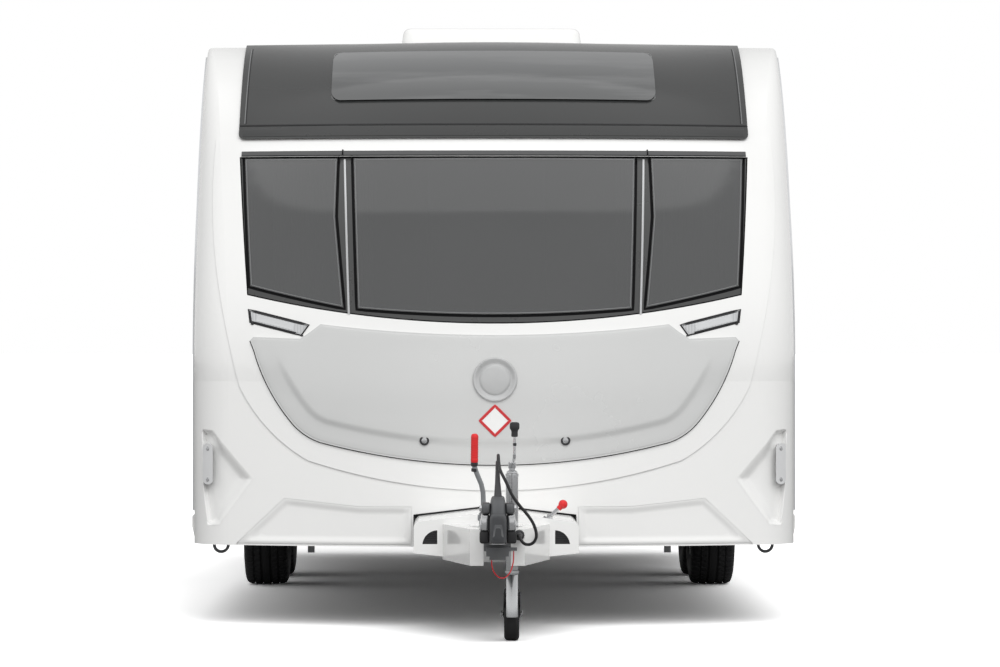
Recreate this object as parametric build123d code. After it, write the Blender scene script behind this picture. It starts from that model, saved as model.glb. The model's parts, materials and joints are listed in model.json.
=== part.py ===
from build123d import *
from math import atan2, cos, pi, radians, sin, sqrt
import os

os.makedirs("parts", exist_ok=True)

# A twin-axle touring caravan, in millimetres.  X is across, with the entrance
# door on the +X side.  Y runs back from the front corners of the body, and Z
# is up from the road.  The finished pieces are moved so that Y = 0 lies
# halfway between the coupling and the rear bumper.

# ---- Body ----
BODY_HALF = 1213            # half the width over the side walls
PANEL_BOTTOM = 325          # lower edge of the front, side and rear panels
ROOF_TOP = 2396
WALL = 30                   # sandwich panel thickness
NOSE_Y = -380               # most forward point of the bowed front
REAR_Y = 6120
CURVE_RADIUS = 1455         # side-on radius of the front up from its nose
CURVE_Z = 980               # height of the centre of that radius
REAR_CORNER = 140           # plan radius of the rear corners
REAR_BROW = 260             # side-on radius from roof to rear
ROOF_END_Y = 5750           # seam of the roof with the rear panel
SIDE_MARGIN = 20            # from a side wall's edge to the start of the corner
FIT = 0.3                   # clearance of a seated piece

# Sections of the front, about an axis across the body.  Columns: angle above
# level, distance of the bow's top from the axis, its radius, the corner's radius.
STATIONS = (
    (0, CURVE_RADIUS, 3000, 230),
    (22.5, CURVE_RADIUS, 2800, 215),
    (45, CURVE_RADIUS, 2550, 180),
    (67.5, CURVE_RADIUS - 16, 3800, 100),
    (90, ROOF_TOP - CURVE_Z, 120000, 20),
)
CORE = 250                  # radius left empty round that axis

# ---- Floor and chassis ----
FLOOR_BOTTOM = 470
FLOOR_THICK = 45
RAIL_X = 520                # outer face of a main rail
RAIL_BOTTOM = 300
RAIL_FRONT_Y = 700
RAIL_REAR_Y = 5980
RAIL_FLANGE = 45
STEEL = 5
DRAW_Z = (345, 435)         # lower and upper edge of the A-frame
DRAW_TIP_Y = -1450
DRAW_TIP_X = 50             # inner face of an A-frame member at its tip
CROSS_Y = (760, 2450, 4400, 5860)

# ---- Wheels ----
AXLE_Y = (3000, 3820)
TYRE_RADIUS = 334
TYRE_WIDTH = 206
TRACK_OUTER = 1138          # outer face of a tyre
RIM_RADIUS = 205
RIM_WALL = 14
SPINDLE = 25
RUNNING = 0.05              # radial clearance of a turning fit
ARCH_RADIUS = 395
BOX_TOP = 760
BOX_WALL = 15
BOX_INNER_X = 880
BOX_END = 415               # from an axle to the end wall of the wheel box

# ---- Front details ----
FAIRING_HALF = 317
FAIRING_BOTTOM = 304
FAIRING_KEEL = 100          # half width of its lowest part
FAIRING_SIDE_LOW = 328
FAIRING_SIDE_TOP = 447
FAIRING_TOP = 486
FAIRING_FRONT_Y = -970
FAIRING_REAR_Y = NOSE_Y - 6
SUNROOF_HALF = 1047
SUNROOF_BOTTOM = 1962
SUNROOF_CREASE = 2018
SUNROOF_REAR_Y = 1060
SKYLIGHT_HALF = 667
SKYLIGHT_Z = (2128, 2349)
LID_PROUD = 10
BAND_PROUD = 6
GLASS_PROUD = 8

# ---- Draw gear ----
BALL_Y = -1760
BALL_Z = 430
BALL_RADIUS = 25
COUPLING_NOSE_Y = -1850
JOCKEY_X = 58
JOCKEY_Y = -1200
JOCKEY_WHEEL = 102.5        # radius
JOCKEY_OUTER = 24
BUMPER_REAR_Y = REAR_Y + 30
MIDDLE_Y = (COUPLING_NOSE_Y + BUMPER_REAR_Y) / 2

CURVE_Y = NOSE_Y + CURVE_RADIUS
INNER_HALF = BODY_HALF - WALL
FLOOR_TOP = FLOOR_BOTTOM + FLOOR_THICK
FAR = 9000
DEEP = CURVE_Y - CORE - 50  # how far back the front's outlines reach
POD_DEPTH = 24


# ---- Helpers ----
def block(x, y, z):
    """A box from its low and high values along each axis."""
    size = (x[1] - x[0], y[1] - y[0], z[1] - z[0])
    return Pos(sum(x) / 2, sum(y) / 2, sum(z) / 2) * Box(*size)


def rod(start, end, radius):
    """A round bar between two points."""
    run = Vector(*end) - Vector(*start)
    return Solid.make_cylinder(radius, run.length, Plane(origin=start, z_dir=run))


def pipe(start, end, radius, bore):
    """A tube between two points, open at both ends."""
    run = (Vector(*end) - Vector(*start)).normalized() * 2
    low = Vector(*start) - run
    high = Vector(*end) + run
    return rod(start, end, radius) - rod(tuple(low), tuple(high), bore)


def outline(start, *steps):
    """A closed flat face: a step is a point, or a (middle, end) pair for an arc."""
    edges = []
    here = start
    for step in (*steps, start):
        if isinstance(step[0], tuple):
            edges.append(ThreePointArc(here, step[0], step[1]))
            here = step[1]
        elif step != here:
            edges.append(Line(here, step))
            here = step
    return make_face(Curve() + edges)


def across(face, y_low, y_high):
    """Extrudes an X-Z outline along Y."""
    plane = Plane(origin=(0, y_low, 0), x_dir=(1, 0, 0), z_dir=(0, -1, 0))
    return extrude(plane * face, -(y_high - y_low))


def sideways(face, x_low, x_high):
    """Extrudes a Y-Z outline along X."""
    plane = Plane(origin=(x_low, 0, 0), x_dir=(0, 1, 0), z_dir=(1, 0, 0))
    return extrude(plane * face, x_high - x_low)


def upwards(face, z_low, z_high):
    """Extrudes an X-Y outline along Z."""
    return extrude(Plane.XY.offset(z_low) * face, z_high - z_low)


def rounded(x, z, radius):
    """A flat rectangle from low and high values, with rounded corners."""
    size = (x[1] - x[0], z[1] - z[0])
    return Pos(sum(x) / 2, sum(z) / 2) * RectangleRounded(*size, radius)


def flip(shape):
    """The same shape on the other side of the caravan."""
    return mirror(shape, about=Plane.YZ)


def pair(shape):
    """A shape on the +X side, and its copy on the -X side."""
    return [shape, flip(shape)]


def save(name, *shapes):
    """Writes one node, moved so that the whole caravan is centred along Y."""
    solids = []
    for shape in shapes:
        solids += shape.solids()
    node = Compound(children=[Pos(0, -MIDDLE_Y, 0) * solid for solid in solids])
    export_step(node, f"parts/{name}.step")


# ---- Form of the body ----
def reach(depth, bow, corner, inset=0):
    """How far from the axis the flat side of a section ends."""
    half = BODY_HALF - inset
    corner = max(corner - inset, WALL / 2)
    bow -= inset
    centre = depth - inset - bow
    return centre + sqrt((bow - corner) ** 2 - (half - corner) ** 2)


def section(plane, depth, bow, corner, low, inset):
    """One section: flat inner side, two flat flanks, two corner arcs and the bow."""
    half = BODY_HALF - inset
    flank = reach(depth, bow, corner, inset)
    depth -= inset
    corner = max(corner - inset, WALL / 2)
    bow -= inset
    share = bow / (bow - corner)
    bow_centre = depth - bow
    meet_x = (half - corner) * share
    meet_y = bow_centre + (flank - bow_centre) * share
    lean = atan2(meet_y - flank, meet_x - half + corner) / 2
    mid_x = half - corner + corner * cos(lean)
    mid_y = flank + corner * sin(lean)
    face = outline(
        (-half, low),
        (half, low),
        (half, flank),
        ((mid_x, mid_y), (meet_x, meet_y)),
        ((0, depth), (-meet_x, meet_y)),
        ((-mid_x, mid_y), (-half, flank)),
    )
    return plane * face


def station_plane(angle):
    turn = radians(angle)
    return Plane(
        origin=(0, CURVE_Y, CURVE_Z),
        x_dir=(1, 0, 0),
        z_dir=(0, -sin(turn), -cos(turn)),
    )


front_forms = {}


def front_form(inset):
    """The bowed front as a thick solid, its outside moved in by the inset."""
    if inset not in front_forms:
        faces = [section(station_plane(angle), *form, CORE, inset) for angle, *form in STATIONS]
        low = extrude(faces[0], CURVE_Z - PANEL_BOTTOM + WALL)
        front_forms[inset] = (low + loft(faces)).solid()
    return front_forms[inset]


def front_layer(face, outer, inner, back=DEEP):
    """What lies between two insets of the front, inside an X-Z outline."""
    prism = across(face, NOSE_Y - WALL, back)
    return (front_form(outer) & prism) - front_form(inner)


def rear_form(inset):
    """The straight part of the body with its rounded rear."""
    angle, *form = STATIONS[-1]
    face = section(station_plane(angle), *form, PANEL_BOTTOM - CURVE_Z - inset, inset)
    tail = REAR_Y - inset
    length = tail - CURVE_Y
    straight = extrude(face, -length)
    half = BODY_HALF - inset
    corner_radius = REAR_CORNER - inset
    brow = REAR_BROW - inset
    top = ROOF_TOP - inset
    slant = sqrt(0.5)
    plan = outline(
        (-half, CURVE_Y),
        (half, CURVE_Y),
        (half, tail - corner_radius),
        (
            (half - corner_radius * (1 - slant), tail - corner_radius * (1 - slant)),
            (half - corner_radius, tail),
        ),
        (corner_radius - half, tail),
        (
            (corner_radius * (1 - slant) - half, tail - corner_radius * (1 - slant)),
            (-half, tail - corner_radius),
        ),
    )
    profile = outline(
        (CURVE_Y, 0),
        (tail, 0),
        (tail, top - brow),
        ((tail - brow * (1 - slant), top - brow * (1 - slant)), (tail - brow, top)),
        (CURVE_Y, top),
    )
    return straight & upwards(plan, 0, FAR) & sideways(profile, -FAR, FAR)


def edge_point(angle, *form):
    """A point of the side wall's front edge, seen from the side."""
    far = reach(*form) - SIDE_MARGIN
    turn = radians(angle)
    return (CURVE_Y - far * cos(turn), CURVE_Z + far * sin(turn))


def side_outline(grow=0):
    """A side wall seen from the side, as (Y, Z), grown evenly by a margin."""
    low, a, b, c, top = (edge_point(*station) for station in STATIONS)
    tail = REAR_Y - REAR_CORNER - SIDE_MARGIN / 2
    bend = REAR_BROW - SIDE_MARGIN
    slant = bend * (1 - sqrt(0.5))
    face = outline(
        (low[0], PANEL_BOTTOM),
        low,
        (a, b),
        (c, top),
        (tail - bend, top[1]),
        ((tail - slant, top[1] - slant), (tail, top[1] - bend)),
        (tail, PANEL_BOTTOM),
    )
    return offset(face, amount=grow, kind=Kind.INTERSECTION) if grow else face


# ---- Outlines of the front, seen from ahead, as (X, Z) ----
frame_half_top = 1039
frame_top = 1885
frame_rise = 7              # how much higher the frame's upper corners are
RAIL_HALF = frame_half_top - 5  # the rail over the window
frame_outline = outline(
    (-frame_half_top, frame_top + frame_rise),
    ((0, frame_top), (frame_half_top, frame_top + frame_rise)),
    (991, 1325),
    ((0, 1210), (-991, 1325)),
)
centre_pane = outline(
    (-570, 1881),
    (570, 1881),
    (546, 1270),
    ((0, 1245), (-546, 1270)),
)
side_pane = outline(
    (633, 1882),
    (1018, 1887),
    (980, 1360),
    ((790, 1313), (601, 1273)),
    (637, 1640),
)
lamp_outline = outline((980, 1263), (745, 1204), (772, 1167), (974, 1218))
lid_outline = outline(
    (-693, 1208),
    ((0, 1165), (693, 1208)),
    (734, 1177),
    (775, 1150),
    (964, 1157),
    (976, 1143),
    (960, 1103),
    ((899, 951), (815, 825)),
    ((765, 776), (693, 739)),
    ((0, 651), (-693, 739)),
    ((-765, 776), (-815, 825)),
    ((-899, 951), (-960, 1103)),
    (-976, 1143),
    (-964, 1157),
    (-775, 1150),
    (-734, 1177),
)
pan_outline = outline(
    (-880, 1108),
    (880, 1108),
    ((830, 955), (752, 852)),
    ((710, 815), (660, 788)),
    ((0, 700), (-660, 788)),
    ((-710, 815), (-752, 852)),
    ((-830, 955), (-880, 1108)),
)
band_outline = outline(
    (-1142, 1970),
    (1142, 1970),
    ((1144, 1700), (1112, 1386)),
    ((1083, 1229), (1021, 962)),
    ((932, 823), (744, 666)),
    ((0, 549), (-744, 666)),
    ((-932, 823), (-1021, 962)),
    ((-1083, 1229), (-1112, 1386)),
    ((-1144, 1700), (-1142, 1970)),
)
valance_outline = outline(
    (331, 484),
    (540, 484),
    (838, 515),
    (1032, 333),
    (1032, PANEL_BOTTOM - 20),
    (331, PANEL_BOTTOM - 20),
)
pod_outline = outline(
    (1177, 787),
    (1131, 785),
    (1090, 739),
    (962, 592),
    (1102, 404),
    (1153, 402),
    (1173, 569),
)


def sunroof_band(low, high):
    """The sunroof's outline between two heights, its lower edge a little bowed."""
    face = outline(
        (-SUNROOF_HALF, high),
        (-SUNROOF_HALF, low + frame_rise),
        ((0, low), (SUNROOF_HALF, low + frame_rise)),
        (SUNROOF_HALF, high),
    )
    return fillet(face.vertices().group_by(Axis.Y)[0], 22)


sunroof_outline = sunroof_band(SUNROOF_BOTTOM, ROOF_TOP + 300)
skylight_outline = rounded((-SKYLIGHT_HALF, SKYLIGHT_HALF), SKYLIGHT_Z, 40)
fairing_outline = outline(
    (-FAIRING_KEEL, FAIRING_BOTTOM),
    (FAIRING_KEEL, FAIRING_BOTTOM),
    (FAIRING_HALF, FAIRING_SIDE_LOW),
    (FAIRING_HALF, FAIRING_SIDE_TOP),
    (0, FAIRING_TOP),
    (-FAIRING_HALF, FAIRING_SIDE_TOP),
    (-FAIRING_HALF, FAIRING_SIDE_LOW),
)

side_prism = sideways(side_outline(), INNER_HALF, BODY_HALF + WALL)


# ---- Front panel and what is set in it ----
def make_front_shell():
    skin = front_form(0)
    skin += front_form(-BAND_PROUD) & across(band_outline, NOSE_Y - WALL, DEEP)
    rail_face = outline(
        (-RAIL_HALF, frame_top - 5 + frame_rise),
        ((0, frame_top - 5), (RAIL_HALF, frame_top - 5 + frame_rise)),
        (RAIL_HALF, frame_top + 22 + frame_rise),
        ((0, frame_top + 22), (-RAIL_HALF, frame_top + 22 + frame_rise)),
    )
    skin += front_form(-BAND_PROUD - 8) & across(rail_face, NOSE_Y - WALL, DEEP)
    for face, depth in ((valance_outline, 8), (pod_outline, POD_DEPTH)):
        tool = across(face, NOSE_Y - WALL, DEEP) - front_form(depth)
        for cutter in pair(tool):
            skin -= cutter
    skin -= front_form(WALL)
    skin -= side_prism
    skin -= flip(side_prism)
    skin -= across(frame_outline, NOSE_Y - WALL, DEEP)
    skin -= across(offset(lid_outline, amount=-15), NOSE_Y - WALL, DEEP)
    for lamp in pair(across(offset(lamp_outline, amount=FIT), NOSE_Y - WALL, DEEP)):
        skin -= lamp
    skin -= across(offset(skylight_outline, amount=-30), NOSE_Y - WALL, DEEP)
    notch = outline(
        (-FAIRING_HALF - 6, 0),
        (FAIRING_HALF + 6, 0),
        (FAIRING_HALF + 6, FAIRING_SIDE_TOP + 6),
        (0, FAIRING_TOP + 6),
        (-FAIRING_HALF - 6, FAIRING_SIDE_TOP + 6),
    )
    skin -= across(notch, NOSE_Y - WALL, 0)
    skin &= block((-FAR, FAR), (-FAR, CURVE_Y), (PANEL_BOTTOM, FAR))
    return skin.solids().sort_by(SortBy.VOLUME)[-1]


save("front_shell", make_front_shell())

window_ring = offset(frame_outline, amount=-FIT)
for pane in (centre_pane, side_pane, flip(side_pane)):
    window_ring -= offset(pane, amount=-18)
save("front_window_frame", front_layer(window_ring, -2, WALL))
panes = [centre_pane, side_pane, flip(side_pane)]
save("front_windows", *[front_layer(offset(p, amount=-2), -GLASS_PROUD, -2 - FIT) for p in panes])

sunroof = front_layer(sunroof_outline, -12, -BAND_PROUD - FIT, SUNROOF_REAR_Y)
crease = sunroof_band(SUNROOF_BOTTOM, SUNROOF_CREASE)
sunroof += front_layer(crease, -17, -BAND_PROUD - FIT, SUNROOF_REAR_Y)
skylight_hole = across(offset(skylight_outline, amount=-30), NOSE_Y, CURVE_Y)
save("sunroof_panel", sunroof - skylight_hole)
save("skylight", front_layer(skylight_outline, -20, -12 - FIT, SUNROOF_REAR_Y))

lamp = front_layer(lamp_outline, -BAND_PROUD - 3, WALL / 2)
save("front_marker_lamps", *pair(lamp))


# ---- Locker lid, with what is on it ----
lid_face = -BAND_PROUD - LID_PROUD
lid = front_layer(lid_outline, lid_face, -BAND_PROUD - FIT)
lid += front_layer(pan_outline, -BAND_PROUD - 2, WALL / 2)
save("locker_lid", lid)
disc = Pos(0, 989) * Circle(83)
ring = Pos(0, 989) * Circle(58)
diamond = outline((0, 759), (67, 826), (0, 893), (-67, 826))
badge = front_layer(disc, lid_face - 6, lid_face - FIT) + front_layer(ring, lid_face - 9, lid_face - 3)
sign = front_layer(diamond, lid_face - 4, lid_face - FIT)
lock = front_layer(Pos(277, 747) * Circle(18), lid_face - 8, lid_face - FIT)
save("lid_fittings", badge, sign, *pair(lock))

# ---- Handles in the corner pods ----
handle = front_layer(rounded((1129, 1171), (566, 730), 20), -14, -2)
for foot_z in ((566, 592), (704, 730)):
    handle += front_layer(rounded((1133, 1167), foot_z, 12), -3, POD_DEPTH - FIT)
save("front_grab_handles", *pair(handle))


# ---- Side walls, roof and rear ----
def arch_outline(radius, low):
    """Both wheels' arch, seen from the side, as (Y, Z)."""
    front = AXLE_Y[0]
    back = AXLE_Y[1]
    slant = radius * sqrt(0.5)
    return outline(
        (front - radius, low),
        (front - radius, TYRE_RADIUS),
        ((front - slant, TYRE_RADIUS + slant), (front, TYRE_RADIUS + radius)),
        (back, TYRE_RADIUS + radius),
        ((back + slant, TYRE_RADIUS + slant), (back + radius, TYRE_RADIUS)),
        (back + radius, low),
    )


# Openings in the side walls.  Columns: low and high Y, low and high Z.
LOUNGE = ((700, 1700), (1180, 1830))
KITCHEN = ((2400, 3250), (1330, 1830))
REAR_SIDE = ((5150, 5800), (1230, 1830))
DRESSER = ((2400, 3250), (1230, 1830))
WASHROOM = ((4400, 4850), (1430, 1830))
WINDOWS = {"nearside": (LOUNGE, KITCHEN, REAR_SIDE)}
WINDOWS["offside"] = (LOUNGE, DRESSER, WASHROOM, REAR_SIDE)
DOOR = ((4340, 4960), (505, 2250))
HATCH = {"nearside": ((1780, 2280), (560, 880)), "offside": ((4960, 5360), (560, 900))}
DOOR_GAP = 5
HATCH_GAP = 4
LAP = 20                    # how far a pane overlaps its opening
PANE = 8
KNUCKLE = 7
PIN = 3


def grown(opening, margin):
    return tuple((low - margin, high + margin) for low, high in opening)


def opening_prism(opening, radius):
    face = rounded(*opening, radius)
    return sideways(face, INNER_HALF - WALL, BODY_HALF + WALL)


arch_cut = sideways(arch_outline(ARCH_RADIUS, 0), INNER_HALF - WALL, BODY_HALF + WALL)


def side_wall(side):
    wall = sideways(side_outline(), INNER_HALF, BODY_HALF) - arch_cut
    for window in WINDOWS[side]:
        wall -= opening_prism(window, 60)
    wall -= opening_prism(HATCH[side], 40)
    if side == "nearside":
        wall -= opening_prism(DOOR, 60)
    return wall


def window_panes(side):
    faces = [rounded(*grown(window, LAP), 75) for window in WINDOWS[side]]
    return [sideways(face, BODY_HALF, BODY_HALF + PANE) for face in faces]


save("side_wall_nearside", side_wall("nearside"))
save("side_wall_offside", flip(side_wall("offside")))

back = rear_form(0) - rear_form(WALL)
back -= side_prism
back -= flip(side_prism)
back &= block((-FAR, FAR), (CURVE_Y, FAR), (PANEL_BOTTOM, FAR))
big_light = ((-395, 395), (1480, 2020))
small_lights = [((-210, 210), (y - 210, y + 210)) for y in (4080, 5300)]
roof = back & block((-FAR, FAR), (0, ROOF_END_Y), (0, FAR))
for x, y in (big_light, *small_lights):
    roof -= block((x[0] + 40, x[1] - 40), (y[0] + 40, y[1] - 40), (ROOF_TOP - 200, FAR))
save("roof_panel", roof)
rear = back & block((-FAR, FAR), (ROOF_END_Y, FAR), (0, FAR))
REAR_WINDOW = ((-650, 650), (1300, 1830))
rear -= across(rounded(*REAR_WINDOW, 60), REAR_Y - 2 * WALL, REAR_Y + WALL)
save("rear_shell", rear)
rear_pane = across(rounded(*grown(REAR_WINDOW, LAP), 75), REAR_Y, REAR_Y + PANE)
offside_panes = [flip(pane) for pane in window_panes("offside")]
save("side_and_rear_windows", *window_panes("nearside"), *offside_panes, rear_pane)


def rooflight(x, y, frame_top, lid_top, radius):
    """The seat frame and the lid of a rooflight."""
    size = (x[1] - x[0], y[1] - y[0])
    centre = (sum(x) / 2, sum(y) / 2)
    frame = Pos(*centre, ROOF_TOP - 60) * extrude(RectangleRounded(*size, 50), frame_top - ROOF_TOP + 60)
    frame -= block((x[0] + 40, x[1] - 40), (y[0] + 40, y[1] - 40), (0, FAR))
    frame -= roof_skin
    base = Pos(*centre, frame_top) * RectangleRounded(size[0] - 6, size[1] - 6, 50)
    lid = extrude(base, lid_top - frame_top, taper=8)
    lid = fillet(lid.faces().sort_by(Axis.Z)[-1].edges(), radius)
    return frame, lid


roof_skin = rear_form(-FIT)
rooflights = [rooflight(*big_light, ROOF_TOP + 34, ROOF_TOP + 106, 30)]
rooflights += [rooflight(*light, ROOF_TOP + 25, ROOF_TOP + 70, 20) for light in small_lights]
save("rooflight_frames", *[frame for frame, lid in rooflights])
save("rooflight_lids", *[lid for frame, lid in rooflights])

skirt_outline = outline(
    (BODY_HALF, PANEL_BOTTOM + 2),
    (BODY_HALF + 1, PANEL_BOTTOM + 2),
    (BODY_HALF + 15, PANEL_BOTTOM + 60),
    (BODY_HALF + 15, PANEL_BOTTOM + 103),
    (BODY_HALF + 9, PANEL_BOTTOM + 110),
    (BODY_HALF, PANEL_BOTTOM + 110),
)
skirt = across(skirt_outline, 130, REAR_Y - REAR_CORNER - 40)
lip = sideways(arch_outline(ARCH_RADIUS + 30, PANEL_BOTTOM + 2), BODY_HALF, BODY_HALF + 11)
skirt = skirt + lip - arch_cut
save("side_skirts", *pair(skirt))

rail_band = side_outline() - side_outline(-22)
slot_band = side_outline(-8) - side_outline(-14)
rail = sideways(rail_band, BODY_HALF, BODY_HALF + 9) - sideways(slot_band, BODY_HALF + 3, BODY_HALF + 12)
rail &= block((0, FAR), (-FAR, FAR), (PANEL_BOTTOM + 130, FAR))
save("awning_rails", *pair(rail))

# ---- Doors and hatches of the side walls ----
DOOR_WINDOW = ((4500, 4800), (1420, 1960))
door_leaf = ((DOOR[0][0] + DOOR_GAP, DOOR[0][1] - DOOR_GAP), (DOOR[1][0] + DOOR_GAP, DOOR[1][1] - DOOR_GAP))
door = sideways(rounded(*door_leaf, 56), INNER_HALF, BODY_HALF)
door -= opening_prism(DOOR_WINDOW, 40)
for groove in (760, 960, 1160):
    door -= block((BODY_HALF - 3, FAR), (DOOR[0][0] + 70, DOOR[0][1] - 70), (groove, groove + 12))
hinge_y = DOOR[0][1] - 1
hinge_x = BODY_HALF + KNUCKLE
for hinge_z in (640, 1375, 2110):
    knuckle = rod((hinge_x, hinge_y, hinge_z), (hinge_x, hinge_y, hinge_z + 40), KNUCKLE)
    knuckle += block((BODY_HALF, BODY_HALF + 3), (hinge_y - 60, hinge_y), (hinge_z, hinge_z + 40))
    bore = rod((hinge_x, hinge_y, hinge_z - 5), (hinge_x, hinge_y, hinge_z + 45), PIN + RUNNING)
    door = door + knuckle - bore
grip = block((BODY_HALF, BODY_HALF + 6), (4362, 4412), (1120, 1330))
grip += block((BODY_HALF, BODY_HALF + 14), (4372, 4402), (1150, 1300))
save("entrance_door", door + fillet(grip.edges().group_by(Axis.X)[-1], 3))
pane_face = rounded(*grown(DOOR_WINDOW, 15), 50)
save("entrance_door_window", sideways(pane_face, BODY_HALF, BODY_HALF + 6))
wall_hinges = []
for hinge_z in (640, 1375, 2110):
    pin = rod((hinge_x, hinge_y, hinge_z - 15), (hinge_x, hinge_y, hinge_z + 55), PIN)
    for low in (hinge_z - 20.5, hinge_z + 40.5):
        pin += rod((hinge_x, hinge_y, low), (hinge_x, hinge_y, low + 20), KNUCKLE)
        pin += block((BODY_HALF, BODY_HALF + 3), (hinge_y, hinge_y + 45), (low, low + 20))
    wall_hinges.append(pin)


def hatch_leaf(opening):
    """A service hatch on the +X side, hinged along its lower edge."""
    leaf = grown(opening, -HATCH_GAP)
    panel = sideways(rounded(*leaf, 36), BODY_HALF - 24, BODY_HALF)
    axis_z = opening[1][0] + 1
    middle = sum(opening[0]) / 2
    ends = [(hinge_x, middle + shift, axis_z) for shift in (-80, 80)]
    knuckle = rod(*ends, KNUCKLE)
    knuckle += block((BODY_HALF, BODY_HALF + 3), (middle - 80, middle + 80), (axis_z, axis_z + 35))
    bore = rod((hinge_x, middle - 90, axis_z), (hinge_x, middle + 90, axis_z), PIN + RUNNING)
    latch_z = opening[1][1] - 40
    latch = rod((BODY_HALF, middle, latch_z), (BODY_HALF + 7, middle, latch_z), 20)
    return panel + knuckle + latch - bore


def hatch_hinge(opening):
    """The fixed half of a hatch's hinge, with its pin."""
    axis_z = opening[1][0] + 1
    middle = sum(opening[0]) / 2
    hinge = rod((hinge_x, middle - 95, axis_z), (hinge_x, middle + 95, axis_z), PIN)
    for low in (middle - 100.5, middle + 80.5):
        hinge += rod((hinge_x, low, axis_z), (hinge_x, low + 20, axis_z), KNUCKLE)
        hinge += block((BODY_HALF, BODY_HALF + 3), (low, low + 20), (axis_z - 35, axis_z))
    return hinge


save("storage_hatch", hatch_leaf(HATCH["nearside"]))
save("cassette_hatch", flip(hatch_leaf(HATCH["offside"])))
hatch_hinges = (hatch_hinge(HATCH["nearside"]), flip(hatch_hinge(HATCH["offside"])))
save("door_and_hatch_hinges", *wall_hinges, *hatch_hinges)

# Louvred vents and inlets.  Columns: side, low and high Y, low and high Z.
VENTS = (
    (1, (3400, 3850), (870, 1080)),
    (1, (3400, 3850), (1180, 1390)),
)
vents = []
for side, y, z in VENTS:
    vent = sideways(rounded(y, z, 20), BODY_HALF, BODY_HALF + 10)
    for slat in range(6):
        low = z[0] + 26 + slat * 28
        vent -= block((BODY_HALF + 4, FAR), (y[0] + 25, y[1] - 25), (low, low + 14))
    vents.append(vent)
for y, z in (((1950, 2100), (980, 1130)), ((4480, 4640), (960, 1160))):
    box_lid = sideways(rounded(y, z, 20), BODY_HALF, BODY_HALF + 12)
    vents.append(flip(box_lid))
save("side_vents_and_inlets", *vents)

# ---- Rear details ----
bumper_outline = outline(
    (-1050, PANEL_BOTTOM),
    (1050, PANEL_BOTTOM),
    (1060, 560),
    (420, 600),
    (360, 520),
    (-360, 520),
    (-420, 600),
    (-1060, 560),
)
bumper = across(bumper_outline, REAR_Y, BUMPER_REAR_Y)
save("rear_bumper", chamfer(bumper.faces().sort_by(Axis.Y)[-1].edges(), 12))
cluster = across(rounded((930, 1055), (660, 1120), 40), REAR_Y, REAR_Y + 22)
clusters = pair(fillet(cluster.faces().sort_by(Axis.Y)[-1].edges(), 10))
save("rear_lamps", *clusters, across(rounded((-170, 170), (2030, 2064), 15), REAR_Y, REAR_Y + 14))

# ---- Floor, wheel boxes and front bulkhead ----
floor_tail = REAR_Y - WALL
floor_corner = REAR_CORNER - WALL + FIT
floor_slant = floor_corner * (1 - sqrt(0.5))
floor_plan = outline(
    (-INNER_HALF, 60),
    (INNER_HALF, 60),
    (INNER_HALF, floor_tail - floor_corner),
    ((INNER_HALF - floor_slant, floor_tail - floor_slant), (INNER_HALF - floor_corner, floor_tail)),
    (floor_corner - INNER_HALF, floor_tail),
    ((floor_slant - INNER_HALF, floor_tail - floor_slant), (-INNER_HALF, floor_tail - floor_corner)),
)
floor = upwards(floor_plan, FLOOR_BOTTOM, FLOOR_TOP)
box_y = (AXLE_Y[0] - BOX_END, AXLE_Y[1] + BOX_END)
inner_y = (box_y[0] + BOX_WALL, box_y[1] - BOX_WALL)
for wheel_box in pair(block((BOX_INNER_X, INNER_HALF), box_y, (FLOOR_BOTTOM, BOX_TOP))):
    floor += wheel_box
for hollow in pair(block((BOX_INNER_X + BOX_WALL, FAR), inner_y, (0, BOX_TOP - BOX_WALL))):
    floor -= hollow
save("floor_with_wheel_boxes", floor)

SHELF_Z = 1205
bulkhead = block((-INNER_HALF, INNER_HALF), (42, 60), (FLOOR_BOTTOM, SHELF_Z))
bulkhead += block((-INNER_HALF, INNER_HALF), (NOSE_Y, 60), (SHELF_Z - 17, SHELF_Z))
bulkhead += block((-INNER_HALF, INNER_HALF), (NOSE_Y, 60), (FLOOR_BOTTOM, FLOOR_BOTTOM + 20))
save("front_bulkhead", bulkhead & front_form(WALL + FIT))

# ---- Chassis ----
FLANGE_X = RAIL_X - RAIL_FLANGE


def rail_strip(thick, front_part):
    """Plan of a rail's web or flange, its A-frame part or its main part."""
    if front_part:
        return outline(
            (DRAW_TIP_X, DRAW_TIP_Y),
            (DRAW_TIP_X + thick, DRAW_TIP_Y),
            (FLANGE_X + thick, RAIL_FRONT_Y),
            (FLANGE_X, RAIL_FRONT_Y),
        )
    return Pos(FLANGE_X + thick / 2, (RAIL_FRONT_Y + RAIL_REAR_Y) / 2) * Rectangle(
        thick, RAIL_REAR_Y - RAIL_FRONT_Y
    )


def channel(front_part, low, high):
    """A channel section: a web on the inside and two flanges pointing out."""
    steel = upwards(rail_strip(STEEL, front_part), low, high)
    for z in (low, high - STEEL):
        steel += upwards(rail_strip(RAIL_FLANGE, front_part), z, z + STEEL)
    return steel


rail_beam = channel(False, RAIL_BOTTOM, FLOOR_BOTTOM)
for hole in range(13):
    y = 980 + 380 * hole
    middle = (RAIL_BOTTOM + FLOOR_BOTTOM) / 2
    rail_beam -= rod((FLANGE_X - 5, y, middle), (FLANGE_X + 15, y, middle), 42)
rail_beam += block((FLANGE_X, RAIL_X), (RAIL_FRONT_Y - STEEL, RAIL_FRONT_Y), (RAIL_BOTTOM, FLOOR_BOTTOM))
rail_beam += channel(True, *DRAW_Z)
save("chassis_rails", *pair(rail_beam))
cross = [block((-FLANGE_X, FLANGE_X), (y, y + 45), (375, 440)) for y in CROSS_Y]
save("chassis_cross_members", *cross)

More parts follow.
